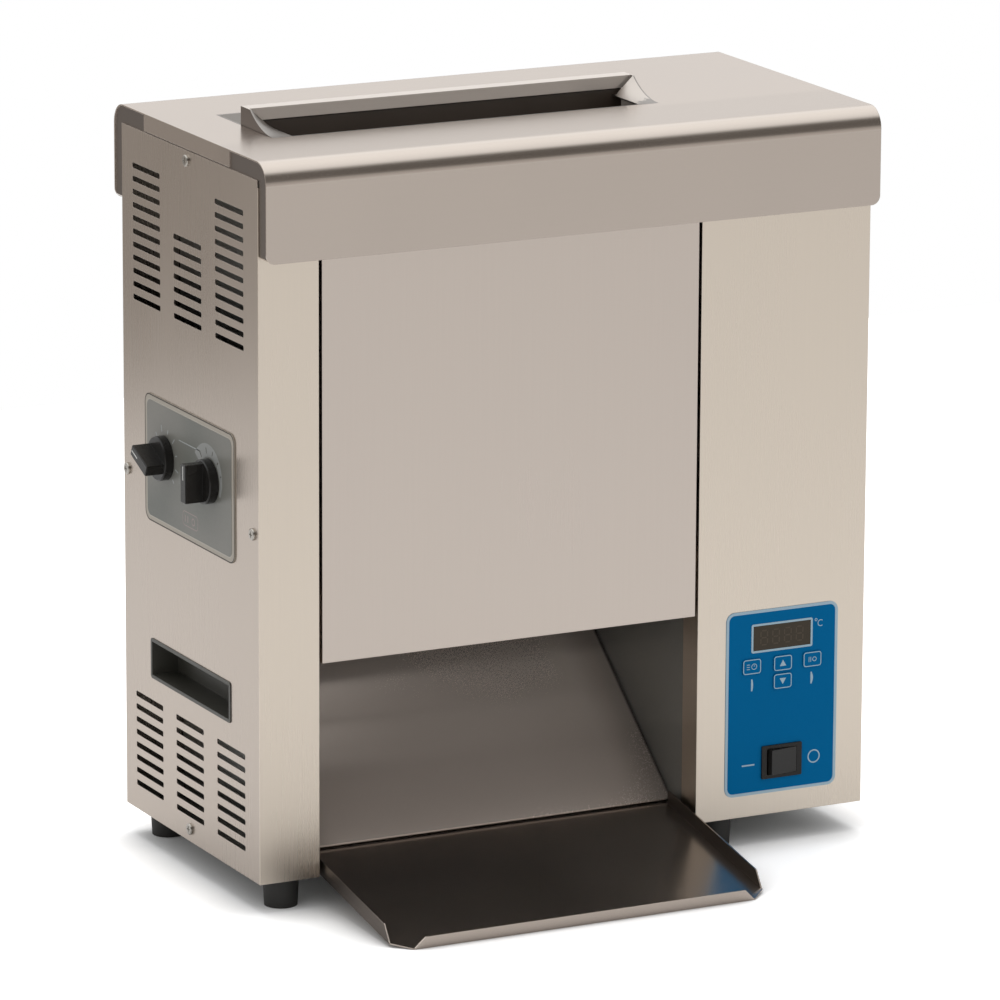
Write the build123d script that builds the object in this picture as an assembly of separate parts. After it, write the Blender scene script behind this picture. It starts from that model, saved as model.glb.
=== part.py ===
from build123d import *
import os
from math import cos, pi, radians, sin, tan

# Vertical contact toaster. Buns drop through two slots on top, run down between a hot
# platen and two driven belts, and slide over a chute on to a landing tray at the front.
# Millimetres. While it is being built, x = 0 is the left side, y = 0 the front face and
# z = 0 the underside. The last section moves everything to the middle of the footprint.

# Casing
body_width = 571.5
body_depth = 273
side_height = 596
sheet = 1.2
seat_gap = 0.3
fit_clearance = 0.05
hot_gap = 1
overrun = 5
quarter_turn = 90

# Hood
hood_rise = 16
hood_overhang = 16
hood_bend_radius = 18
skirt_drop = 83
skirt_corner_radius = 8
hood_tuck = 18
hood_tuck_inset = 20
end_flange_front = 55
end_flange_rear = 46
end_flange_gap = 1.2
end_flange_length = body_depth - end_flange_front - end_flange_rear
hood_top = side_height + hood_rise
skirt_bottom = hood_top - skirt_drop

# Front: a narrow strip on the left, the outlet, and the console on the right
strip_width = 54.5
console_width = 161.5
panel_return = 26
panel_top_gap = 6
panel_flange = 18
outlet_right = body_width - console_width
outlet_middle = (strip_width + outlet_right) / 2
panel_top = side_height - panel_top_gap

# Inner walls on both sides of the toasting chamber
wall_front = 12
wall_top_gap = 12
wall_top = side_height - wall_top_gap
wall_left_inside = strip_width - sheet
wall_right_inside = outlet_right + sheet
wall_base = sheet
rear_inside = body_depth - sheet

# Toasting core: the platen stands in the middle plane, between the two belts
core_setback = 3.5
core_y = body_depth / 2 + core_setback
platen_thickness = 10
platen_end_gap = 8.7
platen_bottom = 225
platen_top_gap = 31
platen_top = side_height - platen_top_gap
platen_height = platen_top - platen_bottom
platen_left = wall_left_inside + platen_end_gap
platen_right = wall_right_inside - platen_end_gap
platen_front = core_y - platen_thickness / 2
platen_rear = core_y + platen_thickness / 2
sheet_gap = 0.3
release_sheet = 0.5
release_overhang = 3
release_bottom = platen_bottom - release_overhang
hanger_height = 50

# Belt conveyors, one in front of the platen and one behind it
conveyor_offset = 50
drive_height = 240
idler_top_gap = 51
idler_height = side_height - idler_top_gap
roller_radius = 18
roller_wall = 3
belt_thickness = 2
belt_end_gap = 10.95
belt_left = wall_left_inside + belt_end_gap
belt_right = wall_right_inside - belt_end_gap
belt_inner_radius = roller_radius + seat_gap
belt_outer_radius = belt_inner_radius + belt_thickness
drive_shaft_radius = 6
idler_shaft_radius = 4
frame_plate = 3
frame_gap = 3.7
frame_half_width = 13
pressure_plate = 2
pressure_inset = 0.3
pressure_bottom_gap = 32
pressure_top_gap = 25
pressure_bottom = drive_height + pressure_bottom_gap
pressure_top = idler_height - pressure_top_gap
pressure_reach = belt_inner_radius - pressure_inset - pressure_plate
drive_y = {"front": core_y - conveyor_offset, "rear": core_y + conveyor_offset}

# Compression knobs and their cam shafts
knob_spread = 45.3
knob_height = 324.8
knob_collar_radius = 19
knob_collar = 8
knob_bar_length = 33
knob_bar_width = 10
knob_bar_reach = 16
knob_collar_chamfer = 0.9
knob_bar_chamfer = 0.6
knob_seat_gap = 0.3
rear_knob_turn = 67
cam_shaft_radius = 4
cam_throw = 0.9
cam_width = 6
cam_inset = 14
cam_radius = pressure_reach - (conveyor_offset - knob_spread) + cam_throw - seat_gap
knob_y = {"front": core_y - knob_spread, "rear": core_y + knob_spread}

# Left control plate, round the knobs
plate_sheet = 1
plate_length = 180.7
plate_height = 110.5
plate_knob_offset = 3.65
plate_knob_rise = 6.05
plate_front = core_y - plate_length / 2 - plate_knob_offset
plate_bottom = knob_height - plate_height / 2 - plate_knob_rise
plate_corner_radius = 9
overlay_inset = 5
overlay_sheet = 0.3

# Louvre slots in the side panels
vent_length = 56
vent_height = 4.8
vent_end_radius = 1.6
vent_pitch = 11.3
vent_columns = 3
vent_column_pitch = 83.3
vent_front = core_y - vent_column_pitch - vent_length / 2
vent_top_gap = 29.7
vent_upper_top = side_height - vent_top_gap
vent_lower_top = 105.3
vent_fill_share = 0.65
vent_upper_rows = int((vent_upper_top - plate_bottom - plate_height) * vent_fill_share / vent_pitch)
vent_skipped_rows = 4
vent_short_rows = max(1, vent_upper_rows - vent_skipped_rows)
vent_lower_rows = 8

# Recessed hand grips
grip_length = 162.3
grip_setback = 1.15
grip_front = body_depth / 2 - grip_length / 2 + grip_setback
grip_bottom = 125
grip_height = 35.3
grip_depth = 25
grip_rim = 3
grip_proud = 0.8
grip_wall = 1.5
grip_corner_radius = 3

# Feet, under the toasting section
foot_height = 26
foot_top_radius = 15.5
foot_bottom_radius = 14
foot_inset_side = 29
foot_inset_end = 22
foot_screw_radius = 2.5
foot_screw_head_radius = 5
foot_screw_head = 3
foot_screw_depth = 16
foot_centres = [
    (x, y)
    for x in (foot_inset_side, outlet_right + foot_inset_side)
    for y in (foot_inset_end, body_depth - foot_inset_end)
]

# Drive gears in the console
gear_teeth = 40
gear_module = 2 * conveyor_offset / gear_teeth
pinion_teeth = 14
gear_width = 8
gear_standoff = 43.8
gear_plane = wall_right_inside + gear_standoff
gear_hub_radius = 11
gear_hub = 6
addendum_share = 0.9
dedendum_share = 1.2
tooth_share = 0.42
pressure_angle = 20
pinion_step = 8
gear_pitch_radius = gear_module * gear_teeth / 2
pinion_pitch_radius = gear_module * pinion_teeth / 2
gear_distance = gear_pitch_radius + pinion_pitch_radius
tooth_turn = 360 / gear_teeth
pinion_angle = pinion_step * tooth_turn
pinion_y = drive_y["front"] + gear_distance * cos(radians(pinion_angle))
pinion_z = drive_height - gear_distance * sin(radians(pinion_angle))

# Bearings
bearing_radius = 11
bearing_flange_radius = 14
bearing_flange = 2

# Chute and landing tray
chute_angle = 38.5
chute_foot_y = 46
chute_foot_z = 11.6
chute_head_gap = 58
chute_head_y = body_depth - chute_head_gap
chute_side = 9
tray_tilt = 10
tray_front = -141
tray_tuck = 10
tray_wall_gap = 2.4
tray_rear = chute_foot_y + tray_tuck
tray_wall_rear = chute_foot_y - tray_wall_gap
tray_side_gap = 3.5
tray_wall = 13
tray_lip = 10.5
tray_corner = 15
tray_left = strip_width + tray_side_gap
tray_right = outlet_right - tray_side_gap
tray_slope = tan(radians(tray_tilt))
pan_cut_rear = tray_front + (foot_height + sheet + seat_gap) / tray_slope

# Front cover, hinged under the hood's skirt
cover_gap = 3
cover_bottom = 184
cover_tuck = 31
cover_pivot_rise = 11
cover_top = skirt_bottom + cover_tuck
cover_pivot_z = skirt_bottom + cover_pivot_rise
cover_pivot_y = 8
cover_flange = 14
cover_hem = 10
cover_left = strip_width + cover_gap
cover_right = outlet_right - cover_gap
pin_radius = 2.5
pin_reach = 3

# Bun feeder in the hood
inlet_side_reach = 2.25
inlet_left = strip_width - inlet_side_reach
inlet_right = outlet_right + inlet_side_reach
inlet_half_depth = 56
inlet_front = core_y - inlet_half_depth
inlet_rear = core_y + inlet_half_depth
inlet_corner_radius = 1
feeder_gap = 0.4
feeder_left = inlet_left + feeder_gap
feeder_right = inlet_right - feeder_gap
ridge_half = 7
ridge_rise = 16
ridge_leg = 10.5
ridge_sheet = 0.8
guide_foot_offset = 34
guide_foot_gap = 2
guide_foot_z = wall_top + guide_foot_gap
wing_width = 17
wing_sheet = 1.2
rim_arc_y = core_y - guide_foot_offset
rim_arc_rise = 3.4
rim_flat = 4

# Console controls
label_left = 27.5
label_width = 108.5
label_bottom = 19
label_height = 163.5
label_corner_radius = 8
label_sheet = 0.4
label_x = outlet_right + label_left
display_left = 51.8
display_width = 59.5
display_bottom = 144.8
display_height = 25.4
display_frame = 1.8
display_x = outlet_right + display_left
key_width = 18
key_height = 13.6
key_sheet = 0.6
key_lift = 0.5
key_stem_radius = 1.5
key_corner_radius = 2.5
key_row = 133.3
key_left_x = 52.3
key_middle_x = 82.4
key_right_x = 111.2
key_down_drop = 15.9
key_centres = {
    "key_left": (outlet_right + key_left_x, key_row),
    "key_up": (outlet_right + key_middle_x, key_row),
    "key_down": (outlet_right + key_middle_x, key_row - key_down_drop),
    "key_right": (outlet_right + key_right_x, key_row),
}
board_y = 12
board_sheet = 1.6
button_half = 3
button_height = 2.4
switch_left = 62.9
switch_width = 38.9
switch_bottom = 32
switch_height = 29.3
switch_rim = 3.2
switch_proud = 1.6
switch_depth = 24
switch_x = outlet_right + switch_left
switch_middle_x = switch_x + switch_width / 2
switch_middle_z = switch_bottom + switch_height / 2
rocker_width = 26
rocker_height = 22
rocker_depth = 9
rocker_pivot_y = 5
rocker_tilt = 8
rocker_clearance = 1.5

# Gearmotor
gearbox_length = 38
gearbox_half = 30
motor_radius = 26
motor_length = 72
motor_cap_radius = 21
motor_cap = 6
pinion_shaft_radius = 4
pinion_shaft_seat = 12

# Cooling fan on the rear panel
fan_inset = 79.5
fan_rise = 90
fan_x = body_width - fan_inset
fan_z = drive_height + fan_rise
fan_size = 92
fan_depth = 25
fan_wall = 3
fan_bore_radius = 43
fan_hub_radius = 16
fan_blade_reach = 24.5
fan_blades = 7
fan_blade_sheet = 1.6
fan_blade_turn = 35
fan_strut = 4
fan_pin_radius = 2
fan_grille_rows = 9
fan_grille_pitch = 9
fan_grille_slot = 4
fan_grille_half = 38

# Electrics in the console
relay_rise = 90
relay_board_bottom = drive_height + relay_rise
relay_board_height = 110
relay_board_front = 60
relay_board_length = 130
relay_standoff = 8
relay_sheet = 1.6
relay_block = 22
relay_block_height = 28
relay_block_pitch = 40
relay_blocks = 3
terminal_left = 40
terminal_length = 62
terminal_depth = 24
terminal_height = 20
terminal_ways = 4
terminal_slot = 6
terminal_rear_gap = 30
thermostat_radius = 15
thermostat_depth = 14
thermostat_drop = 65
thermostat_z = platen_top - thermostat_drop
probe_radius = 1.5
probe_depth = 40
probe_reach = 22
probe_height_share = 0.515
probe_z = platen_bottom + platen_height * probe_height_share

# Heating elements and the brackets of the platen
element_radius = 4
element_bend_inset = 24
element_pitch_share = 0.088
element_half_pitch = platen_height * element_pitch_share
element_reach = 20
element_height_shares = (0.265, 0.735)
element_heights = [platen_bottom + platen_height * share for share in element_height_shares]
bracket_half_width = 4
bracket_height = 18
bracket_end_gap = 8
bracket_heights = [platen_bottom + bracket_end_gap, platen_top - bracket_end_gap - bracket_height]

# Cord gland
gland_inset = 51.5
gland_x = body_width - gland_inset
gland_z = 60
gland_hole_radius = 11
gland_flange_radius = 15
gland_flange = 3
gland_barrel = 12
gland_bore_radius = 5

# Fasteners
screw_radius = 1.7
screw_hole_radius = 1.9
screw_head_radius = 5.1
screw_head = 2.2
screw_length = 9
screw_slot = 1.3
screw_slot_depth = 0.8
side_screw_front = 11.5
side_screw_rear_gap = 8
side_screw_top_gap = 8.4
side_screw_rear = body_depth - side_screw_rear_gap
side_screw_middle_z = side_height / 2
side_screw_top_z = side_height - side_screw_top_gap
side_screw_bottom_z = 11.3
rear_screw_inset = 60
side_screws = [
    (side_screw_front, side_screw_middle_z),
    (side_screw_rear, side_screw_middle_z),
    (core_y, side_screw_top_z),
    (core_y, side_screw_bottom_z),
]
rear_screws = [
    (x, side_screw_bottom_z)
    for x in (rear_screw_inset, body_width / 2, body_width - rear_screw_inset)
]


def block(x0, x1, y0, y1, z0, z1):
    """A box between two corners."""
    middle = Pos((x0 + x1) / 2, (y0 + y1) / 2, (z0 + z1) / 2)
    return middle * Box(x1 - x0, y1 - y0, z1 - z0)


def rod_x(x0, x1, y, z, radius):
    """A round bar along x."""
    return Pos((x0 + x1) / 2, y, z) * Rot(0, quarter_turn, 0) * Cylinder(radius, x1 - x0)


def hole_x(x, y, z, radius):
    """A round cutter along x, through a sheet that stands at x."""
    return rod_x(x - overrun, x + overrun, y, z, radius)


def rod_y(y0, y1, x, z, radius):
    """A round bar along y."""
    return Pos(x, (y0 + y1) / 2, z) * Rot(quarter_turn, 0, 0) * Cylinder(radius, y1 - y0)


def rod_z(z0, z1, x, y, radius):
    """A round bar along z."""
    return Pos(x, y, (z0 + z1) / 2) * Cylinder(radius, z1 - z0)


def side_shape(points, x0, x1):
    """An outline in y and z, made solid from x0 to x1."""
    outline = make_face(Plane.YZ.offset(x0) * Polyline(*points, close=True))
    return extrude(outline, amount=x1 - x0, dir=(1, 0, 0))


def rounded_plate_x(x0, x1, y0, y1, z0, z1, radius):
    """A plate that faces along x, with round corners."""
    return fillet(block(x0, x1, y0, y1, z0, z1).edges().filter_by(Axis.X), radius)


def rounded_plate_y(x0, x1, y0, y1, z0, z1, radius):
    """A plate that faces along y, with round corners."""
    return fillet(block(x0, x1, y0, y1, z0, z1).edges().filter_by(Axis.Y), radius)


def mirrored(shape):
    """The same shape on the other side of the outlet's middle."""
    return mirror(shape, about=Plane.YZ.offset(outlet_middle))


def mirrored_body(shape):
    """The same shape on the other side of the casing's middle."""
    return mirror(shape, about=Plane.YZ.offset(body_width / 2))


def stadium(x0, x1, y, z0, z1, radius):
    """A flat bar with round ends, upright in y and z."""
    upright = block(x0, x1, y - radius, y + radius, z0, z1)
    return upright + rod_x(x0, x1, y, z0, radius) + rod_x(x0, x1, y, z1, radius)


def rear_hole(x, z, radius):
    """A round cutter through the rear panel and whatever lies behind it by an overrun."""
    return rod_y(rear_inside - overrun, body_depth + overrun, x, z, radius)


def rear_slot(x0, x1, z0, z1):
    """A straight cutter through the rear panel."""
    return block(x0, x1, rear_inside - overrun, body_depth + overrun, z0, z1)


def window_cutter(x0, x1, z0, z1, rim):
    """A straight cutter through the console's face, a rim's width inside an outline."""
    return block(x0 + rim, x1 - rim, -overrun, overrun, z0 + rim, z1 - rim)


def console_cutters():
    """The openings for the display, the power switch and the keys' stems."""
    display_top = display_bottom + display_height
    switch_top = switch_bottom + switch_height
    case_rim = switch_rim - fit_clearance
    cutters = [
        window_cutter(display_x, display_x + display_width, display_bottom, display_top, display_frame),
        window_cutter(switch_x, switch_x + switch_width, switch_bottom, switch_top, case_rim),
    ]
    for x, z in key_centres.values():
        cutters.append(rod_y(-overrun, overrun, x, z, key_stem_radius + seat_gap))
    return cutters


def base_pan():
    """The floor, with a rim up each side and one up the back."""
    pan = block(sheet, body_width - sheet, sheet, rear_inside, 0, sheet)
    rim_front = panel_flange + sheet
    rim_rear = rear_inside - panel_flange
    left_rim = block(sheet, 2 * sheet, rim_front, rim_rear, sheet, panel_flange)
    rim_end = 3 * sheet
    rear_rim = block(rim_end, body_width - rim_end, rear_inside - sheet, rear_inside, sheet, panel_flange)
    pan += left_rim + mirrored_body(left_rim) + rear_rim
    pan -= block(wall_left_inside, wall_right_inside, 0, pan_cut_rear, -overrun, overrun)
    for x, y in foot_centres:
        pan -= rod_z(-overrun, overrun, x, y, foot_screw_radius + fit_clearance)
    side_hole = rod_x(0, overrun, core_y, side_screw_bottom_z, screw_hole_radius)
    rear_holes = [rear_hole(x, z, screw_hole_radius) for x, z in rear_screws]
    return pan - side_hole - mirrored_body(side_hole) - rear_holes


def vent_cutters():
    """Three columns of slots at the top and three at the bottom; the middle top one is short."""
    cutters = []
    for column in range(vent_columns):
        y = vent_front + column * vent_column_pitch
        skipped = vent_upper_rows - vent_short_rows if column == 1 else 0
        tops = [vent_upper_top - row * vent_pitch for row in range(skipped, vent_upper_rows)]
        tops += [vent_lower_top - row * vent_pitch for row in range(vent_lower_rows)]
        for top in tops:
            slot = block(-overrun, overrun, y, y + vent_length, top - vent_height, top)
            cutters.append(fillet(slot.edges().filter_by(Axis.X), vent_end_radius))
    return cutters


def plain_side_panel():
    panel = block(0, sheet, sheet, body_depth, 0, side_height)
    inner = grip_rim - grip_wall
    cutters = vent_cutters()
    cutters.append(
        block(
            -overrun,
            overrun,
            grip_front + inner - fit_clearance,
            grip_front + grip_length - inner + fit_clearance,
            grip_bottom + inner - fit_clearance,
            grip_bottom + grip_height - inner + fit_clearance,
        )
    )
    cutters += [hole_x(0, y, z, screw_hole_radius) for y, z in side_screws]
    return panel - cutters


def left_side_panel():
    shaft_hole = cam_shaft_radius + fit_clearance
    return plain_side_panel() - [hole_x(0, y, knob_height, shaft_hole) for y in knob_y.values()]


def right_side_panel():
    return mirrored_body(plain_side_panel())


def rear_panel():
    panel = block(sheet, body_width - sheet, rear_inside, body_depth, 0, panel_top)
    flange = block(sheet, 2 * sheet, rear_inside - panel_flange + sheet, rear_inside, sheet, panel_top)
    panel += flange + mirrored_body(flange)
    cutters = [rear_hole(gland_x, gland_z, gland_hole_radius)]
    first = fan_z - fan_grille_pitch * (fan_grille_rows - 1) / 2
    for row in range(fan_grille_rows):
        z = first + row * fan_grille_pitch
        half = (fan_grille_half**2 - (z - fan_z) ** 2) ** (1 / 2)
        low = z - fan_grille_slot / 2
        cutters.append(rear_slot(fan_x - half, fan_x + half, low, low + fan_grille_slot))
    column_pitch = (outlet_right - strip_width) / vent_columns
    for row in range(vent_upper_rows):
        top = skirt_bottom - (row + 2) * vent_pitch
        for column in range(vent_columns):
            x = strip_width + column_pitch * (column + 1 / 2) - vent_length / 2
            cutters.append(rear_slot(x, x + vent_length, top - vent_height, top))
    cutters += [rear_hole(x, z, screw_hole_radius) for x, z in rear_screws]
    for x in (sheet, body_width - sheet):
        cutters.append(hole_x(x, side_screw_rear, side_screw_middle_z, screw_hole_radius))
    return panel - cutters


def front_left_panel():
    face = block(0, strip_width, 0, sheet, 0, panel_top)
    outer = block(sheet, 2 * sheet, sheet, panel_flange, sheet, panel_top)
    inner = block(wall_left_inside, strip_width, sheet, panel_return, sheet, panel_top)
    pin_hole = hole_x(strip_width, cover_pivot_y, cover_pivot_z, pin_radius + fit_clearance)
    screw_hole = rod_x(0, overrun, side_screw_front, side_screw_middle_z, screw_hole_radius)
    return face + outer + inner - pin_hole - screw_hole


def front_right_panel():
    face = block(outlet_right, body_width, 0, sheet, 0, panel_top)
    outer = block(body_width - 2 * sheet, body_width - sheet, sheet, panel_flange, sheet, panel_top)
    inner = block(outlet_right, wall_right_inside, sheet, panel_return, sheet, panel_top)
    pin_hole = hole_x(outlet_right, cover_pivot_y, cover_pivot_z, pin_radius + fit_clearance)
    screw_hole = hole_x(body_width, side_screw_front, side_screw_middle_z, screw_hole_radius)
    return face + outer + inner - console_cutters() - pin_hole - screw_hole


def plain_inner_wall(x0):
    wall = block(x0, x0 + sheet, wall_front, rear_inside - sheet, wall_base, wall_top)
    cutters = []
    for side in ("front", "rear"):
        cutters.append(hole_x(x0, drive_y[side], drive_height, bearing_radius + fit_clearance))
        cutters.append(hole_x(x0, knob_y[side], knob_height, cam_shaft_radius + fit_clearance))
    return wall - cutters


def inner_left_wall():
    return plain_inner_wall(wall_left_inside - sheet)


def inner_right_wall():
    cutters = [hole_x(wall_right_inside, core_y, probe_z, probe_radius + hot_gap)]
    for height in element_heights:
        for z in (height - element_half_pitch, height + element_half_pitch):
            cutters.append(hole_x(wall_right_inside, core_y, z, element_radius + hot_gap))
    return plain_inner_wall(wall_right_inside) - cutters


def hood_section(inset):
    """The hood's outline seen from the side, drawn in by a sheet thickness or more."""
    front = -hood_overhang + inset
    rear = body_depth + hood_overhang - inset
    top = hood_top - inset
    radius = hood_bend_radius - inset
    shell = block(0, body_width, front, rear, skirt_bottom - overrun, top)
    edges = shell.edges().filter_by(Axis.X).group_by(Axis.Z)[-1]
    return fillet(edges, radius)


def hood_end_wall():
    """The wall that closes an end of the hood and tucks in behind the side panel."""
    slab = block(sheet, 2 * sheet, -hood_overhang, body_depth + hood_overhang, skirt_bottom, hood_top)
    wall = hood_section(sheet) & slab
    casing = block(-overrun, 2 * overrun, -seat_gap, body_depth + seat_gap, 0, side_height)
    tuck_rear = body_depth - hood_tuck_inset
    tuck = block(sheet, 2 * sheet, hood_tuck_inset, tuck_rear, side_height - hood_tuck, side_height)
    return wall - casing + tuck - hole_x(sheet, core_y, side_screw_top_z, screw_hole_radius)


def top_cover():
    sheet_metal = hood_section(0) - hood_section(sheet)
    far = hood_overhang + overrun
    skirts = block(0, body_width, -far, body_depth + far, skirt_bottom, hood_top + overrun)
    low_edges = skirts.edges().filter_by(Axis.Y).group_by(Axis.Z)[0]
    hood = sheet_metal & fillet(low_edges, skirt_corner_radius)
    inlet = block(inlet_left, inlet_right, inlet_front, inlet_rear, side_height, hood_top + overrun)
    hood -= fillet(inlet.edges().filter_by(Axis.Z), inlet_corner_radius)
    end_wall = hood_end_wall() & fillet(low_edges, skirt_corner_radius)
    rear = end_flange_front + end_flange_length
    flange = block(0, sheet, end_flange_front, rear, side_height + end_flange_gap, hood_top - sheet)
    ends = end_wall + flange
    return hood + ends + mirrored_body(ends)


def feeder_guides():
    """The sloped sheets that lead a bun from each lip down to its belt."""
    front = inlet_front + feeder_gap
    points = [
        (front, hood_top),
        (front + sheet, hood_top),
        (core_y - guide_foot_offset + sheet, guide_foot_z),
        (core_y - guide_foot_offset, guide_foot_z),
    ]
    guide = side_shape(points, feeder_left, feeder_right)
    return guide + mirror(guide, about=Plane.XZ.offset(-core_y))


def feeder_rim():
    """The concave edge of an end plate, from the ridge down to the front lip."""
    top = (core_y - ridge_half - rim_flat, hood_top + ridge_rise)
    middle = (rim_arc_y, hood_top + rim_arc_rise)
    low = (inlet_front + feeder_gap, hood_top)
    return top, middle, low


def feeder_end():
    """One end plate with its raised gusset and the wing that closes the corner."""
    top, middle, low = feeder_rim()
    rear_top = (core_y + ridge_half, hood_top + ridge_rise)
    rear_low = (core_y + ridge_half, hood_top - wing_sheet)
    front_low = (low[0], hood_top - wing_sheet)
    plane = Plane.YZ.offset(feeder_left)
    edges = [
        ThreePointArc(top, middle, low),
        Line(low, front_low),
        Line(front_low, rear_low),
        Line(rear_low, rear_top),
        Line(rear_top, top),
    ]
    gusset = extrude(make_face(plane * Curve(children=edges)), amount=sheet, dir=(1, 0, 0))
    rear = inlet_rear - feeder_gap
    plate = block(feeder_left, feeder_left + sheet, low[0], rear, wall_top + seat_gap, hood_top)
    return gusset + plate


def feeder_wing():
    """The ruled corner sheet between the concave edge and the slot's inner corner."""
    top, middle, low = feeder_rim()
    ridge_front = core_y - ridge_half
    outer_plane = Plane.YZ.offset(feeder_left + sheet)
    inner_plane = Plane.YZ.offset(feeder_left + sheet + wing_width)
    floor = hood_top - wing_sheet
    level = hood_top + fit_clearance
    outer_edges = [
        ThreePointArc(top, middle, low),
        Line(low, (low[0], floor)),
        Line((low[0], floor), (top[0], floor)),
        Line((top[0], floor), top),
    ]
    inner_edges = [
        Line((top[0], level), (low[0], level)),
        Line((low[0], level), (low[0], floor)),
        Line((low[0], floor), (top[0], floor)),
        Line((top[0], floor), (top[0], level)),
    ]
    outer = make_face(outer_plane * Curve(children=outer_edges))
    inner = make_face(inner_plane * Curve(children=inner_edges))
    left = feeder_left + sheet
    web = block(left, left + wing_width, top[0], ridge_front + ridge_sheet, floor, hood_top)
    return loft([outer, inner], ruled=True) + web


def bun_feeder():
    ridge_top = hood_top + ridge_rise
    front = core_y - ridge_half
    rear = core_y + ridge_half
    ridge = block(feeder_left, feeder_right, front, rear, ridge_top - ridge_leg, ridge_top)
    ridge -= block(
        feeder_left - overrun,
        feeder_right + overrun,
        front + ridge_sheet,
        rear - ridge_sheet,
        ridge_top - ridge_leg - overrun,
        ridge_top - ridge_sheet,
    )
    end = feeder_end() + feeder_wing()
    return ridge + feeder_guides() + end + mirrored(end)


def front_cover():
    face = block(cover_left, cover_right, 0, sheet, cover_bottom, cover_top)
    side = block(cover_left, cover_left + sheet, sheet, sheet + cover_flange, cover_bottom, cover_top)
    hem = block(cover_left, cover_right, sheet, cover_hem, cover_bottom, cover_bottom + sheet)
    return face + side + mirrored(side) + hem


def cover_pins():
    left = wall_left_inside - sheet - pin_reach
    pin = rod_x(left, cover_left, cover_pivot_y, cover_pivot_z, pin_radius)
    return [pin, mirrored(pin)]


def bun_chute():
    slope = tan(radians(chute_angle))
    head_z = chute_foot_z + (chute_head_y - chute_foot_y) * slope
    drop = sheet / cos(radians(chute_angle))
    foot = (chute_foot_y, chute_foot_z)
    head = (chute_head_y, head_z)
    plate_points = [foot, head, (head[0], head[1] - drop), (foot[0], foot[1] - drop)]
    left = wall_left_inside + seat_gap
    right = wall_right_inside - seat_gap
    plate = side_shape(plate_points, left, right)
    side_points = [
        (panel_return + chute_foot_y - wall_front, chute_foot_z + (panel_return - wall_front) * slope),
        head,
        (head[0], head[1] - chute_side),
        (panel_return + chute_foot_y, chute_foot_z + panel_return * slope - chute_side),
    ]
    side = side_shape(side_points, left, left + sheet)
    return plate + side + mirrored(side)


def tray_frame(shape):
    """Tilts a shape drawn level, with its front edge at zero, to the tray's place."""
    return Pos(0, tray_front, -foot_height) * Rot(tray_tilt, 0, 0) * shape


def landing_tray():
    stretch = 1 / cos(radians(tray_tilt))
    floor_length = (tray_rear - tray_front) * stretch
    wall_length = (tray_wall_rear - tray_front) * stretch
    outline = Polyline(
        (tray_left + tray_corner, 0),
        (tray_right - tray_corner, 0),
        (tray_right, tray_corner),
        (tray_right, floor_length),
        (tray_left, floor_length),
        (tray_left, tray_corner),
        close=True,
    )
    floor = extrude(make_face(outline), amount=sheet, dir=(0, 0, 1))
    wall_points = [
        (tray_corner, 0),
        (wall_length, 0),
        (wall_length, tray_wall),
        (tray_corner + tray_wall, tray_wall),
    ]
    wall = side_shape(wall_points, tray_left, tray_left + sheet)
    lip_outline = Polyline(
        (tray_left + tray_corner, 0),
        (tray_right - tray_corner, 0),
        (tray_right - tray_corner - tray_lip, tray_lip),
        (tray_left + tray_corner + tray_lip, tray_lip),
        close=True,
    )
    lip = extrude(make_face(Plane.XZ * lip_outline), amount=sheet, dir=(0, 1, 0))
    return tray_frame(floor + wall + mirrored(wall) + lip)


def foot(x, y):
    body = Pos(x, y, -foot_height / 2) * Cone(foot_bottom_radius, foot_top_radius, foot_height)
    recess = rod_z(-foot_height - overrun, -foot_screw_depth, x, y, foot_screw_head_radius + seat_gap)
    bore = rod_z(-foot_height, overrun, x, y, foot_screw_radius + fit_clearance)
    return body - recess - bore


def foot_screw(x, y):
    head = rod_z(-foot_screw_depth - foot_screw_head, -foot_screw_depth, x, y, foot_screw_head_radius)
    return head + rod_z(-foot_screw_depth, sheet + foot_screw_head, x, y, foot_screw_radius)


def grip_cup():
    """A black cup let into the side panel, with a thin rim outside."""
    y0, y1 = grip_front, grip_front + grip_length
    z0, z1 = grip_bottom, grip_bottom + grip_height
    rim = rounded_plate_x(-grip_proud, 0, y0, y1, z0, z1, grip_corner_radius)
    inner = grip_rim - grip_wall
    body = block(-grip_proud, grip_depth, y0 + inner, y1 - inner, z0 + inner, z1 - inner)
    floor = grip_depth - grip_wall
    hollow = block(-overrun, floor, y0 + grip_rim, y1 - grip_rim, z0 + grip_rim, z1 - grip_rim)
    return rim + body - hollow


def control_plate():
    rear = plate_front + plate_length
    top = plate_bottom + plate_height
    plate = rounded_plate_x(-plate_sheet, 0, plate_front, rear, plate_bottom, top, plate_corner_radius)
    shaft_hole = cam_shaft_radius + fit_clearance
    return plate - [hole_x(0, y, knob_height, shaft_hole) for y in knob_y.values()]


def plate_overlay():
    inset = overlay_inset
    overlay = rounded_plate_x(
        -plate_sheet - overlay_sheet,
        -plate_sheet,
        plate_front + inset,
        plate_front + plate_length - inset,
        plate_bottom + inset,
        plate_bottom + plate_height - inset,
        plate_corner_radius - inset / 2,
    )
    shaft_hole = cam_shaft_radius + fit_clearance
    return overlay - [hole_x(0, y, knob_height, shaft_hole) for y in knob_y.values()]


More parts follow.
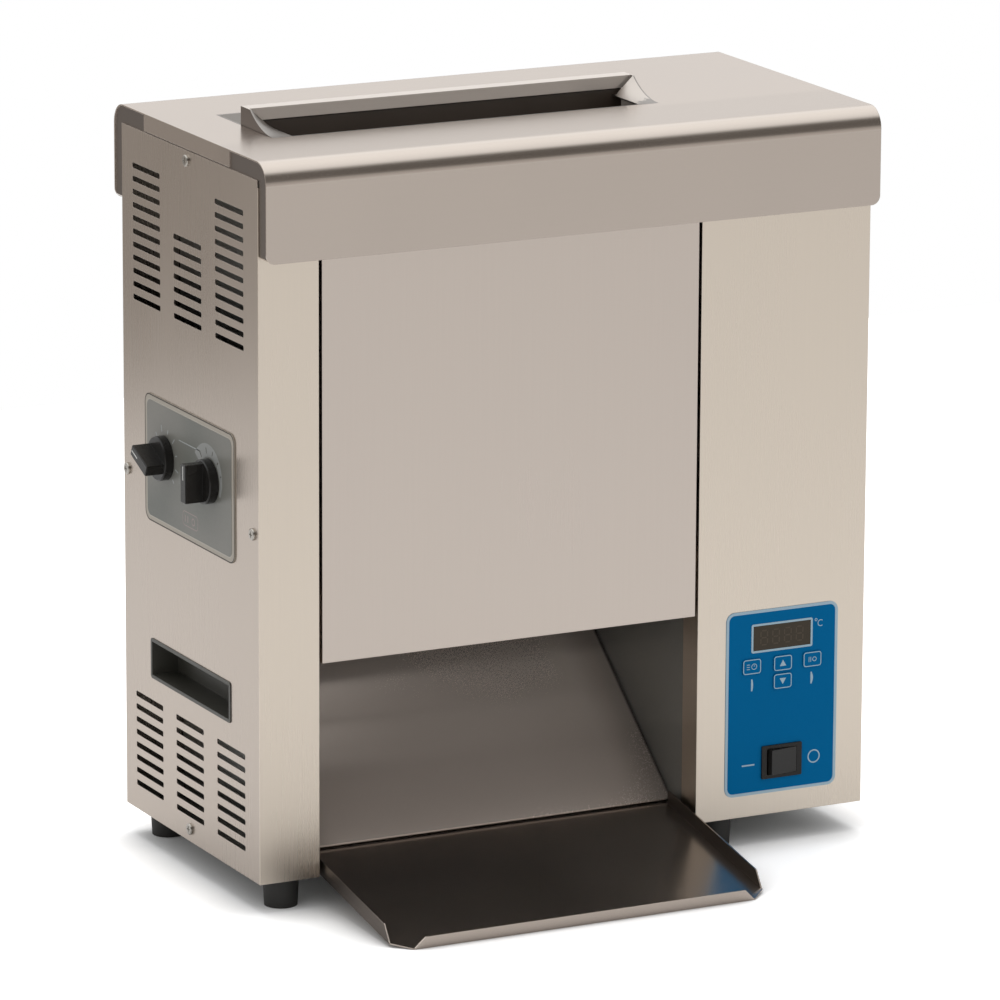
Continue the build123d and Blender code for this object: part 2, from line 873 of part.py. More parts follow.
def knob(side, turn):
    """A round collar with a bar grip across it."""
    seat = -plate_sheet - overlay_sheet - knob_seat_gap
    collar_end = seat - knob_collar
    tip = collar_end - knob_bar_reach
    collar = rod_x(collar_end, seat, 0, 0, knob_collar_radius)
    collar = chamfer(collar.faces().sort_by(Axis.X)[0].edges(), knob_collar_chamfer)
    half_width = knob_bar_width / 2
    half_length = knob_bar_length / 2
    bar = block(tip, collar_end, -half_width, half_width, -half_length, half_length)
    bar = fillet(bar.edges().filter_by(Axis.X), half_width / 4)
    bar = chamfer(bar.faces().sort_by(Axis.X)[0].edges(), knob_bar_chamfer)
    bore = rod_x(-knob_collar - fit_clearance, 0, 0, 0, cam_shaft_radius + fit_clearance)
    return Pos(0, knob_y[side], knob_height) * Rot(turn, 0, 0) * (collar + bar - bore)


def cam_shaft(side):
    """The shaft behind a knob, with an eccentric near each end of the belt."""
    y = knob_y[side]
    away = 1 if side == "front" else -1
    left = -knob_collar
    right = wall_right_inside + sheet + cam_width
    shaft = rod_x(left, right, y, knob_height, cam_shaft_radius)
    cam_left = belt_left + cam_inset
    cam_right = belt_right - cam_inset
    shaft += rod_x(cam_left, cam_left + cam_width, y - away * cam_throw, knob_height, cam_radius)
    shaft += rod_x(cam_right - cam_width, cam_right, y - away * cam_throw, knob_height, cam_radius)
    return shaft


def belt(side):
    y = drive_y[side]
    low, high = drive_height, idler_height
    outside = stadium(belt_left, belt_right, y, low, high, belt_outer_radius)
    return outside - stadium(belt_left - overrun, belt_right + overrun, y, low, high, belt_inner_radius)


def conveyor_frame(side):
    """Two end plates joined by the pressure plate behind the belt's toasting run."""
    y = drive_y[side]
    inward = 1 if side == "front" else -1
    left = wall_left_inside + frame_gap
    plate = stadium(left, left + frame_plate, y, drive_height, idler_height, frame_half_width)
    plate -= hole_x(left, y, drive_height, drive_shaft_radius + fit_clearance)
    plate -= hole_x(left, y, idler_height, idler_shaft_radius + fit_clearance)
    plate -= hole_x(left, knob_y[side], knob_height, cam_shaft_radius + 2 * cam_throw + seat_gap)
    inner_face = y + inward * pressure_reach
    outer_face = inner_face + inward * pressure_plate
    low, high = sorted((outer_face, inner_face))
    press = block(left, 2 * outlet_middle - left, low, high, pressure_bottom, pressure_top)
    tab_low, tab_high = sorted((y, inner_face))
    tabs = [
        block(left, left + frame_plate, tab_low, tab_high, z, z + 2 * frame_half_width)
        for z in (pressure_bottom, pressure_top - 2 * frame_half_width)
    ]
    ends = plate + tabs
    return ends + mirrored(ends) + press


def hollow_roller(y, z):
    """A tube with closed ends."""
    inner_left = belt_left + roller_wall
    inner_right = belt_right - roller_wall
    hollow = rod_x(inner_left, inner_right, y, z, roller_radius - roller_wall)
    return rod_x(belt_left, belt_right, y, z, roller_radius) - hollow


def idler_roller(side):
    y = drive_y[side]
    left = wall_left_inside + frame_gap - seat_gap
    right = 2 * outlet_middle - left
    return hollow_roller(y, idler_height) + rod_x(left, right, y, idler_height, idler_shaft_radius)


def drive_roller(side):
    y = drive_y[side]
    left = wall_left_inside - sheet - bearing_flange - seat_gap
    right = gear_plane + gear_width + seat_gap
    return hollow_roller(y, drive_height) + rod_x(left, right, y, drive_height, drive_shaft_radius)


def drive_bearings():
    bearings = []
    for y in drive_y.values():
        for wall, outward in ((wall_left_inside, -1), (wall_right_inside, 1)):
            outer = wall + outward * sheet
            flange_end = outer + outward * bearing_flange
            barrel = rod_x(min(wall, outer), max(wall, outer), y, drive_height, bearing_radius)
            low, high = sorted((outer, flange_end))
            flange = rod_x(low, high, y, drive_height, bearing_flange_radius)
            bore = rod_x(low - overrun, high + overrun, y, drive_height, drive_shaft_radius + fit_clearance)
            bearings.append(barrel + flange - bore)
    return bearings


def gear_outline(teeth, turn):
    """Straight-sided teeth around a pitch circle, a little thinner than the gaps."""
    pitch_radius = gear_module * teeth / 2
    half_tooth = gear_module * pi * tooth_share / 2
    slant = tan(radians(pressure_angle))
    rise = gear_module * addendum_share
    fall = gear_module * dedendum_share
    levels = [
        (pitch_radius - fall, half_tooth + fall * slant),
        (pitch_radius, half_tooth),
        (pitch_radius + rise, half_tooth - rise * slant),
    ]
    points = []
    for tooth in range(teeth):
        middle = radians(turn) + 2 * pi * tooth / teeth
        flank = [(radius, -half / radius) for radius, half in levels]
        flank += [(radius, half / radius) for radius, half in reversed(levels)]
        points += [(radius * cos(middle + offset), radius * sin(middle + offset)) for radius, offset in flank]
    return points


def spur_gear(y, z, teeth, turn, bore_radius):
    outline = make_face(Plane.YZ.offset(gear_plane) * Polyline(*gear_outline(teeth, turn), close=True))
    gear = extrude(outline, amount=gear_width, dir=(1, 0, 0))
    bore = rod_x(gear_plane - overrun, gear_plane + gear_width + overrun, 0, 0, bore_radius)
    return Pos(0, y, z) * (gear - bore)


def drive_gear(side):
    turn = 0 if side == "front" else tooth_turn / 2
    gear_bore = drive_shaft_radius + fit_clearance
    gear = spur_gear(drive_y[side], drive_height, gear_teeth, turn, gear_bore)
    hub = rod_x(gear_plane - gear_hub, gear_plane, drive_y[side], drive_height, gear_hub_radius)
    bore = rod_x(gear_plane - gear_hub - overrun, gear_plane, drive_y[side], drive_height, gear_bore)
    return gear + (hub - bore)


def motor_pinion():
    gap_angle = 180 - pinion_angle
    turn = gap_angle + 180 / pinion_teeth
    pinion = spur_gear(pinion_y, pinion_z, pinion_teeth, turn, pinion_shaft_radius)
    start = wall_right_inside + sheet + gearbox_length - pinion_shaft_seat
    return pinion + rod_x(start, gear_plane + gear_width, pinion_y, pinion_z, pinion_shaft_radius)


def gearmotor():
    left = wall_right_inside + sheet
    right = left + gearbox_length
    half = gearbox_half
    box = block(left, right, pinion_y - half, pinion_y + half, pinion_z - half, pinion_z + half)
    box = fillet(box.edges().filter_by(Axis.X), half / 5)
    middle_x = left + motor_radius
    low = pinion_z - half - motor_length
    motor = rod_z(low, pinion_z - half, middle_x, pinion_y, motor_radius)
    cap = rod_z(low - motor_cap, low, middle_x, pinion_y, motor_cap_radius)
    bore_start = right - pinion_shaft_seat - seat_gap
    bore = rod_x(bore_start, right + overrun, pinion_y, pinion_z, pinion_shaft_radius + fit_clearance)
    return box + motor + cap - bore


def platen():
    body = block(platen_left, platen_right, platen_front, platen_rear, platen_bottom, platen_top)
    body = fillet(body.edges().filter_by(Axis.X), platen_thickness / 5)
    body -= [element_tube(height, element_radius + fit_clearance) for height in element_heights]
    bore_left = platen_right - probe_depth - seat_gap
    bore_radius = probe_radius + fit_clearance
    return body - rod_x(bore_left, platen_right + overrun, core_y, probe_z, bore_radius)


def element_tube(height, radius):
    """A hairpin heating element that lies inside the platen, with both ends in the console."""
    left = platen_left + element_bend_inset + element_half_pitch
    right = wall_right_inside + element_reach
    low = height - element_half_pitch
    high = height + element_half_pitch
    plane = Plane(origin=(0, core_y, 0), x_dir=(1, 0, 0), z_dir=(0, -1, 0))
    bend = ThreePointArc((left, high), (left - element_half_pitch, height), (left, low))
    legs = [Line((right, high), (left, high)), Line((left, low), (right, low))]
    path = plane * Curve(children=[legs[0], bend, legs[1]])
    section = Plane(origin=(right, core_y, high), x_dir=(0, 1, 0), z_dir=(-1, 0, 0)) * Circle(radius)
    return sweep(section, path=Wire(path.edges()))


def platen_brackets():
    low_y = core_y - bracket_half_width
    high_y = core_y + bracket_half_width
    brackets = []
    for z in bracket_heights:
        lug = block(wall_left_inside, platen_left, low_y, high_y, z, z + bracket_height)
        brackets += [lug, mirrored(lug)]
    return brackets


def arch(x0, x1, radius, z0, z1):
    """An upright bar over the platen's middle plane, round along its top."""
    upright = block(x0, x1, core_y - radius, core_y + radius, z0, z1)
    return upright + rod_x(x0, x1, core_y, z1, radius)


def sheet_hanger():
    radius = platen_thickness / 2
    top = platen_top + hanger_height
    return arch(platen_left, platen_right, radius, platen_top, top)


def release_cover():
    """The non-stick sheet draped over the hanger and down both faces of the platen."""
    inner = platen_thickness / 2 + sheet_gap
    outer = inner + release_sheet
    top = platen_top + hanger_height
    skin = arch(platen_left, platen_right, outer, release_bottom, top)
    return skin - arch(platen_left - overrun, platen_right + overrun, inner, release_bottom - overrun, top)


def probe():
    end = wall_right_inside + probe_reach
    tip = platen_right - probe_depth
    body = rod_x(tip, end, core_y, probe_z, probe_radius)
    collar_left = wall_right_inside + sheet
    collar = rod_x(collar_left, collar_left + 2 * sheet, core_y, probe_z, 3 * probe_radius)
    return body + collar


def control_label():
    right = label_x + label_width
    top = label_bottom + label_height
    label = rounded_plate_y(label_x, right, -label_sheet, 0, label_bottom, top, label_corner_radius)
    return label - console_cutters()


def display_window():
    return block(
        display_x + display_frame + fit_clearance,
        display_x + display_width - display_frame - fit_clearance,
        -label_sheet,
        sheet + seat_gap,
        display_bottom + display_frame + fit_clearance,
        display_bottom + display_height - display_frame - fit_clearance,
    )


def display_bezel():
    """The raised frame around the display."""
    right = display_x + display_width
    top = display_bottom + display_height
    front = -2 * label_sheet
    frame = rounded_plate_y(display_x, right, front, -label_sheet, display_bottom, top, display_frame)
    return frame - window_cutter(display_x, right, display_bottom, top, display_frame)


def membrane_key(name):
    x, z = key_centres[name]
    back = -label_sheet - key_lift
    front = back - key_sheet
    left = x - key_width / 2
    low = z - key_height / 2
    cap = rounded_plate_y(left, left + key_width, front, back, low, low + key_height, key_corner_radius)
    return cap + rod_y(back, board_y - button_height - key_lift, x, z, key_stem_radius)


def control_board():
    """The board behind the console face, with the display module and four small switches."""
    left = label_x + sheet
    right = label_x + label_width - sheet
    low = key_row - key_down_drop - key_height
    high = display_bottom + display_height + display_frame
    board = block(left, right, board_y, board_y + board_sheet, low, high)
    module_right = display_x + display_width
    module_top = display_bottom + display_height
    board += block(display_x, module_right, sheet + seat_gap, board_y, display_bottom, module_top)
    half = button_half
    for x, z in key_centres.values():
        board += block(x - half, x + half, board_y - button_height, board_y, z - half, z + half)
    for x in (left + half, right - half):
        for z in (low + half, high - half):
            board += rod_y(sheet, board_y, x, z, key_stem_radius)
    return board


def switch_body():
    """The power switch's rim outside the panel and its case behind it."""
    right = switch_x + switch_width
    top = switch_bottom + switch_height
    rim = block(switch_x, right, -label_sheet - switch_proud, -label_sheet, switch_bottom, top)
    rim = fillet(rim.edges().filter_by(Axis.Y), switch_rim / 3)
    case = block(
        switch_x + switch_rim,
        right - switch_rim,
        -label_sheet - switch_proud,
        switch_depth,
        switch_bottom + switch_rim,
        top - switch_rim,
    )
    half_width = rocker_width / 2 + rocker_clearance
    half_height = rocker_height / 2 + seat_gap
    well = block(
        switch_middle_x - half_width,
        switch_middle_x + half_width,
        -2 * overrun,
        rocker_pivot_y + rocker_depth,
        switch_middle_z - half_height,
        switch_middle_z + half_height,
    )
    trunnion_half = rocker_height / 2 + sheet
    pivot = rod_z(
        switch_middle_z - trunnion_half,
        switch_middle_z + trunnion_half,
        switch_middle_x,
        rocker_pivot_y,
        key_stem_radius + fit_clearance,
    )
    return rim + case - well - pivot


def rocker():
    """The rocker on its upright pivot, resting with its right half pressed in."""
    half_width = rocker_width / 2
    half_height = rocker_height / 2
    front = -rocker_depth
    points = [
        (-half_width, front),
        (half_width, front),
        (half_width, front / 3),
        (half_width / 2, half_height / 3),
        (-half_width / 2, half_height / 3),
        (-half_width, front / 3),
    ]
    body = extrude(make_face(Polyline(*points, close=True)), amount=rocker_height / 2, both=True)
    trunnion_half = half_height + sheet - seat_gap
    body += rod_z(-trunnion_half, trunnion_half, 0, 0, key_stem_radius)
    return Pos(switch_middle_x, rocker_pivot_y, switch_middle_z) * Rot(0, 0, rocker_tilt) * body


def fan_housing():
    half = fan_size / 2
    front = rear_inside - fan_depth
    frame = block(fan_x - half, fan_x + half, front, rear_inside, fan_z - half, fan_z + half)
    frame = fillet(frame.edges().filter_by(Axis.Y), fan_wall)
    frame -= rod_y(front - overrun, rear_inside + overrun, fan_x, fan_z, fan_bore_radius)
    hub = rod_y(front, front + fan_wall, fan_x, fan_z, fan_hub_radius)
    reach = fan_bore_radius + fan_wall / 3
    strut = block(-reach, reach, front, front + fan_wall, -fan_strut / 2, fan_strut / 2)
    for turn in (0, quarter_turn):
        frame += Pos(fan_x, 0, fan_z) * Rot(0, turn, 0) * strut
    bore = rod_y(front - overrun, front + overrun, fan_x, fan_z, fan_pin_radius + fit_clearance)
    return frame + hub - bore


def fan_impeller():
    front = rear_inside - fan_depth
    hub_front = front + fan_wall + seat_gap
    hub_rear = rear_inside - fan_wall
    hub = rod_y(hub_front, hub_rear, fan_x, fan_z, fan_hub_radius)
    pin = rod_y(front, hub_front, fan_x, fan_z, fan_pin_radius)
    middle_y = (hub_front + hub_rear) / 2
    depth = (hub_rear - hub_front) / cos(radians(fan_blade_turn)) / 2
    impeller = hub + pin
    for blade in range(fan_blades):
        vane = block(
            fan_hub_radius - fan_wall,
            fan_hub_radius + fan_blade_reach,
            -depth / 2,
            depth / 2,
            -fan_blade_sheet / 2,
            fan_blade_sheet / 2,
        )
        spin = Rot(0, 360 * blade / fan_blades, 0) * Rot(fan_blade_turn, 0, 0)
        impeller += Pos(fan_x, middle_y, fan_z) * spin * vane
    return impeller


def relay_board():
    """The power board on the right side panel: board, standoffs and relay cans."""
    wall = body_width - sheet
    face = wall - relay_standoff
    rear = relay_board_front + relay_board_length
    top = relay_board_bottom + relay_board_height
    board = block(face - relay_sheet, face, relay_board_front, rear, relay_board_bottom, top)
    for y in (relay_board_front + relay_standoff, rear - relay_standoff):
        for z in (relay_board_bottom + relay_standoff, top - relay_standoff):
            board += rod_x(face, wall, y, z, relay_standoff / 3)
    can_left = face - relay_sheet - relay_block
    for index in range(relay_blocks):
        y = relay_board_front + relay_standoff + index * relay_block_pitch
        z = relay_board_bottom + relay_block_pitch
        board += block(can_left, can_left + relay_block, y, y + relay_block, z, z + relay_block_height)
    return board


def terminal_block():
    left = wall_right_inside + terminal_left
    rear = rear_inside - terminal_rear_gap
    body = block(left, left + terminal_length, rear - terminal_depth, rear, sheet, sheet + terminal_height)
    pitch = terminal_length / terminal_ways
    for way in range(terminal_ways):
        x = left + pitch * (way + 1 / 2)
        body -= block(
            x - terminal_slot / 2,
            x + terminal_slot / 2,
            rear - terminal_depth,
            rear,
            sheet + terminal_height - terminal_slot,
            sheet + terminal_height,
        )
    return body


def thermostat():
    face = wall_right_inside + sheet
    end = face + thermostat_depth
    y = core_y - 2 * thermostat_radius
    can = rod_x(face, end, y, thermostat_z, thermostat_radius)
    return can + rod_x(end, end + 2 * sheet, y, thermostat_z, thermostat_radius / 4)


def cord_gland():
    front = rear_inside - gland_barrel
    rear = body_depth + gland_flange
    flange = rod_y(body_depth, rear, gland_x, gland_z, gland_flange_radius)
    barrel = rod_y(front, body_depth, gland_x, gland_z, gland_hole_radius - fit_clearance)
    nut = rod_y(rear_inside - gland_flange, rear_inside, gland_x, gland_z, gland_flange_radius)
    bore = rod_y(front - overrun, rear + overrun, gland_x, gland_z, gland_bore_radius)
    return flange + barrel + nut - bore


def screw():
    """A pan-head screw along x, its head's underside at zero and its head towards minus x."""
    head = rod_x(-screw_head, 0, 0, 0, screw_head_radius)
    head = fillet(head.faces().sort_by(Axis.X)[0].edges(), screw_head / 2)
    slot_end = -screw_head + screw_slot_depth
    half_slot = screw_slot / 2
    reach = screw_head_radius / 2
    slot = block(-screw_head - overrun, slot_end, -half_slot, half_slot, -reach, reach)
    for turn in (0, quarter_turn):
        head -= Rot(turn, 0, 0) * slot
    return head + rod_x(0, screw_length, 0, 0, screw_radius)


def panel_screws():
    left = [Pos(0, y, z) * screw() for y, z in side_screws]
    right = [mirrored_body(one) for one in left]
    turned = Rot(0, 0, -quarter_turn) * screw()
    rear = [Pos(x, body_depth, z) * turned for x, z in rear_screws]
    return left + right + rear


nodes = {
    "base_pan": base_pan(),
    "left_side_panel": left_side_panel(),
    "right_side_panel": right_side_panel(),
    "rear_panel": rear_panel(),
    "front_left_panel": front_left_panel(),
    "front_right_panel": front_right_panel(),
    "inner_left_wall": inner_left_wall(),
    "inner_right_wall": inner_right_wall(),
    "top_cover": top_cover(),
    "bun_feeder": bun_feeder(),
    "front_cover": front_cover(),
    "cover_hinge_pins": cover_pins(),
    "bun_chute": bun_chute(),
    "landing_tray": landing_tray(),
    "rubber_feet": [foot(x, y) for x, y in foot_centres],
    "foot_screws": [foot_screw(x, y) for x, y in foot_centres],
    "left_hand_grip": grip_cup(),
    "right_hand_grip": mirrored_body(grip_cup()),
    "compression_plate": control_plate(),
    "compression_overlay": plate_overlay(),
    "front_knob": knob("front", 0),
    "rear_knob": knob("rear", -rear_knob_turn),
    "platen": platen(),
    "heating_elements": [element_tube(height, element_radius) for height in element_heights],
    "platen_brackets": platen_brackets(),
    "sheet_hanger": sheet_hanger(),
    "release_sheet": release_cover(),
    "temperature_probe": probe(),
    "drive_bearings": drive_bearings(),
    "motor_pinion": motor_pinion(),
    "gearmotor": gearmotor(),
    "control_label": control_label(),
    "display_window": display_window(),
    "display_bezel": display_bezel(),
    "control_board": control_board(),
    "power_switch": switch_body(),
    "switch_rocker": rocker(),
    "fan_housing": fan_housing(),
    "fan_impeller": fan_impeller(),
    "relay_board": relay_board(),
    "terminal_block": terminal_block(),
    "limit_thermostat": thermostat(),
    "cord_gland": cord_gland(),
    "panel_screws": panel_screws(),
}
for side in ("front", "rear"):
    nodes[side + "_cam_shaft"] = cam_shaft(side)
    nodes[side + "_belt"] = belt(side)
    nodes[side + "_conveyor_frame"] = conveyor_frame(side)
    nodes[side + "_idler_roller"] = idler_roller(side)
    nodes[side + "_drive_roller"] = drive_roller(side)
    nodes[side + "_drive_gear"] = drive_gear(side)
for name in key_centres:
    nodes[name] = membrane_key(name)

# Everything moves to the middle of its footprint, standing on z = 0.
knob_tip = -plate_sheet - overlay_sheet - knob_seat_gap - knob_collar - knob_bar_reach
front_most = tray_front - tray_lip * sin(radians(tray_tilt))
rear_most = body_depth + hood_overhang
right_most = body_width + screw_head
shift = Pos(-(knob_tip + right_most) / 2, -(front_most + rear_most) / 2, foot_height)

os.makedirs("parts", exist_ok=True)
for name, piece in nodes.items():
    pieces = piece if isinstance(piece, list) else [piece]
    moved = [shift * one.solid() for one in pieces]
    export_step(moved[0] if len(moved) == 1 else Compound(children=moved), f"parts/{name}.step")
print(len(nodes), "nodes")
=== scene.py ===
import math

import bpy
from mathutils import Matrix, Vector


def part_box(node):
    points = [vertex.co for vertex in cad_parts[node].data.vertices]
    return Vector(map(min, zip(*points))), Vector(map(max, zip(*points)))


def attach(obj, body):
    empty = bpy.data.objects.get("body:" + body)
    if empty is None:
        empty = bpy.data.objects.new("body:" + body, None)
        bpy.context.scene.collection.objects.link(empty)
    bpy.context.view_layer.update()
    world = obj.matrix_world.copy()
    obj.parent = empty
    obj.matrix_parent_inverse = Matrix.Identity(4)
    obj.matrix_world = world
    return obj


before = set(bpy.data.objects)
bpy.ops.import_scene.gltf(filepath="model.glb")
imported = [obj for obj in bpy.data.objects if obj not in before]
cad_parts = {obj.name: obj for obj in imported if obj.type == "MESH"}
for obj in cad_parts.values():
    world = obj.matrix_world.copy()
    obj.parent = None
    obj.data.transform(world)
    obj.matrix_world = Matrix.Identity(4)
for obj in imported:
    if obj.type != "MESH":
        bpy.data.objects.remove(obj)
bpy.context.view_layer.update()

# The looks of a vertical contact toaster: finishes for every CAD node, the printed marks on the
# console label, keys, control plate and knobs, and a white studio. Lengths on the toaster are in
# millimetres, and MM turns them into Blender's metres. Directions: +x right, +y to the rear, +z up.

MM = 0.001

LEFT_FACE = Matrix(((0, 0, -1), (-1, 0, 0), (0, 1, 0))).to_4x4()
FRONT_FACE = Matrix(((1, 0, 0), (0, 0, -1), (0, 1, 0))).to_4x4()


# Values of the finishes: noise in cells per metre, tints and roughness as the most that they vary

NOISE_RANGE = (0.3, 0.7)
EDGE_SAMPLES = 4

SHEET_EDGE = 0.5
SCRATCHES_ALONG = 9
SCRATCHES_ACROSS = 1400
SCRATCH_TINT = 0.010
SCRATCH_ROUGHNESS = 0.012
SCRATCH_DEPTH = 0.0007
PATCHES = (7, 7, 4)
PATCH_TINT = 0.015
PATCH_ROUGHNESS = 0.02

METAL_EDGE = 0.4
METAL_TINTS = (0.9, 1.08)

MOULDED_EDGE = 0.5
MOULDED_TINT = 0.05
MOULDED_CLOUDS = 30
MOULDED_CLOUD_TINT = 0.06

PEEL = 500
PEEL_TINT = 0.012
PEEL_DEPTH = 0.004
FILM_CLOUDS = 11
FILM_CLOUD_TINT = 0.02

STAINS = (25, 25, 12)
WEAVE_DEPTH = 0.05

BOARD_ROUGHNESS = 0.35
BOARD_COAT = 0.4
BOARD_GRAIN = 400
BOARD_DEPTH = 0.01
TRACK_SCALE = 60
TRACK_WIDTH = 0.03


def even(cells):
    """As many noise cells per metre along each axis."""
    return (cells, cells, cells)


def scratches_along(axis):
    """Noise cells per metre for scratches that run along one axis."""
    return tuple(SCRATCHES_ALONG if letter == axis else SCRATCHES_ACROSS for letter in "xyz")


class Finish:
    """A material in the making: its shader, its nodes and the object's own coordinates."""

    def __init__(self, name, colour, roughness, metallic=0.0):
        self.material = bpy.data.materials.new(name)
        self.material.use_nodes = True
        self.tree = self.material.node_tree
        self.shader = self.tree.nodes["Principled BSDF"]
        self.colour = colour
        self.roughness = roughness
        self.shader.inputs["Base Color"].default_value = (*colour, 1)
        self.shader.inputs["Roughness"].default_value = roughness
        self.shader.inputs["Metallic"].default_value = metallic
        self.place = self.node("ShaderNodeTexCoord").outputs["Object"]
        self.normal = None

    def node(self, kind, **values):
        made = self.tree.nodes.new(kind)
        for key, value in values.items():
            setattr(made, key, value)
        return made

    def link(self, source, target):
        self.tree.links.new(source, target)

    def math(self, operation, first, second=0.0):
        made = self.node("ShaderNodeMath", operation=operation)
        for socket, value in zip(made.inputs, (first, second)):
            if isinstance(value, (int, float)):
                socket.default_value = value
            else:
                self.link(value, socket)
        return made.outputs[0]

    def along(self, axis):
        """The object's coordinate on one axis, in metres."""
        split = self.node("ShaderNodeSeparateXYZ")
        self.link(self.place, split.inputs[0])
        return split.outputs[axis]

    def noise(self, per_metre, detail=2.0):
        """Noise with so many cells per metre along each axis."""
        mapping = self.node("ShaderNodeMapping")
        mapping.inputs["Scale"].default_value = per_metre
        self.link(self.place, mapping.inputs["Vector"])
        made = self.node("ShaderNodeTexNoise")
        made.inputs["Scale"].default_value = 1
        made.inputs["Detail"].default_value = detail
        self.link(mapping.outputs[0], made.inputs["Vector"])
        return made.outputs["Fac"]

    def map_range(self, value, source, target, interpolation="LINEAR"):
        """Takes a value from the source range to the target range."""
        made = self.node("ShaderNodeMapRange", interpolation_type=interpolation)
        for key, limit in zip(("From Min", "From Max", "To Min", "To Max"), (*source, *target)):
            made.inputs[key].default_value = limit
        self.link(value, made.inputs["Value"])
        return made.outputs[0]

    def spread(self, noise, low, high):
        """A value from low to high as the noise goes through its usual range."""
        return self.map_range(noise, NOISE_RANGE, (low, high))

    def along_y(self, start, end, low, high):
        """A value from low to high between two places on the y axis, in millimetres."""
        return self.map_range(self.along("Y"), (start * MM, end * MM), (low, high), "SMOOTHSTEP")

    def near_sides(self, low, high, reach, least):
        """A value from least at both ends of a range on the x axis to 1 so many millimetres inside."""
        offset = self.math("ABSOLUTE", self.math("SUBTRACT", self.along("X"), (low + high) / 2))
        inside = self.math("SUBTRACT", (high - low) / 2, offset)
        return self.map_range(inside, (0, reach * MM), (least, 1), "SMOOTHSTEP")

    def vary_colour(self, share):
        """Multiplies the base colour by a value."""
        made = self.node("ShaderNodeVectorMath", operation="SCALE")
        made.inputs[0].default_value = self.colour
        self.link(share, made.inputs["Scale"])
        self.link(made.outputs[0], self.shader.inputs["Base Color"])

    def mix_colour(self, fac, other):
        """Mixes the base colour with another one."""
        made = self.node("ShaderNodeMix", data_type="RGBA")
        made.inputs["A"].default_value = (*self.colour, 1)
        made.inputs["B"].default_value = (*other, 1)
        self.link(fac, made.inputs["Factor"])
        self.link(made.outputs["Result"], self.shader.inputs["Base Color"])

    def vary_roughness(self, noise, less, more, extra=None):
        """Lets the roughness go from less under its value to more above it, plus an extra value."""
        rough = self.spread(noise, self.roughness - less, self.roughness + more)
        if extra:
            rough = self.math("ADD", extra, rough)
        self.link(rough, self.shader.inputs["Roughness"])

    def bump(self, height, depth):
        """Presses a height pattern into the surface, so many millimetres deep."""
        made = self.node("ShaderNodeBump")
        made.inputs["Distance"].default_value = depth * MM
        self.link(height, made.inputs["Height"])
        if self.normal:
            self.link(self.normal, made.inputs["Normal"])
        self.normal = made.outputs[0]
        self.link(self.normal, self.shader.inputs["Normal"])

    def rolled_edges(self, radius):
        """Shades sharp edges as if they were rounded by this radius in millimetres."""
        made = self.node("ShaderNodeBevel", samples=EDGE_SAMPLES)
        made.inputs["Radius"].default_value = radius * MM
        self.normal = made.outputs[0]
        self.link(self.normal, self.shader.inputs["Normal"])


def brushed(name, colour, roughness, along, metallic=1.0, shade=None):
    """Sheet steel with fine scratches along one axis, soft patches and perhaps painted shade and light from
    a shade function.
    """
    made = Finish(name, colour, roughness, metallic)
    made.rolled_edges(SHEET_EDGE)
    scratches = made.noise(scratches_along(along), detail=3)
    patches = made.noise(PATCHES, detail=2)
    scratch_tint = made.spread(scratches, -SCRATCH_TINT, SCRATCH_TINT)
    tint = made.math("ADD", scratch_tint, made.spread(patches, 1 - PATCH_TINT, 1 + PATCH_TINT))
    if shade:
        tint = made.math("MULTIPLY", tint, shade(made))
    made.vary_colour(tint)
    scratch_roughness = made.spread(scratches, -SCRATCH_ROUGHNESS, SCRATCH_ROUGHNESS)
    made.vary_roughness(patches, less=PATCH_ROUGHNESS, more=PATCH_ROUGHNESS, extra=scratch_roughness)
    made.bump(scratches, SCRATCH_DEPTH)
    return made.material


def worn_metal(name, colour, roughness, per_metre=even(220), depth=0.02):
    """Cast or turned metal with a fine structure, so many millimetres deep."""
    made = Finish(name, colour, roughness, metallic=1.0)
    made.rolled_edges(METAL_EDGE)
    fine = made.noise(per_metre, detail=4)
    made.vary_colour(made.spread(fine, *METAL_TINTS))
    made.vary_roughness(fine, less=0.06, more=0.08)
    made.bump(fine, depth)
    return made.material


def moulded(name, colour, roughness, texture=900, depth=0.012, gloss=0.5):
    """Moulded plastic or rubber with a fine texture, so many millimetres deep."""
    made = Finish(name, colour, roughness)
    made.shader.inputs["Specular IOR Level"].default_value = gloss
    made.rolled_edges(MOULDED_EDGE)
    fine = made.noise(even(texture), detail=3)
    cloud = made.noise(even(MOULDED_CLOUDS), detail=2)
    fine_tint = made.spread(fine, -MOULDED_TINT, MOULDED_TINT)
    cloud_tint = made.spread(cloud, 1 - MOULDED_CLOUD_TINT, 1 + MOULDED_CLOUD_TINT)
    made.vary_colour(made.math("ADD", fine_tint, cloud_tint))
    made.vary_roughness(cloud, less=0.04, more=0.05)
    made.bump(fine, depth)
    return made.material


def printed_film(name, colour, roughness, other=None, gloss=0.4):
    """A printed plastic film, with a faint orange peel and, at most, a second tint in soft clouds."""
    made = Finish(name, colour, roughness)
    made.shader.inputs["Specular IOR Level"].default_value = gloss
    peel = made.noise(even(PEEL), detail=2)
    cloud = made.noise(even(FILM_CLOUDS), detail=1)
    if other:
        made.mix_colour(made.spread(cloud, 0.0, 1.0), other)
    else:
        peel_tint = made.spread(peel, -PEEL_TINT, PEEL_TINT)
        cloud_tint = made.spread(cloud, 1 - FILM_CLOUD_TINT, 1 + FILM_CLOUD_TINT)
        made.vary_colour(made.math("ADD", peel_tint, cloud_tint))
    made.vary_roughness(peel, less=0.03, more=0.03)
    made.bump(peel, PEEL_DEPTH)
    return made.material


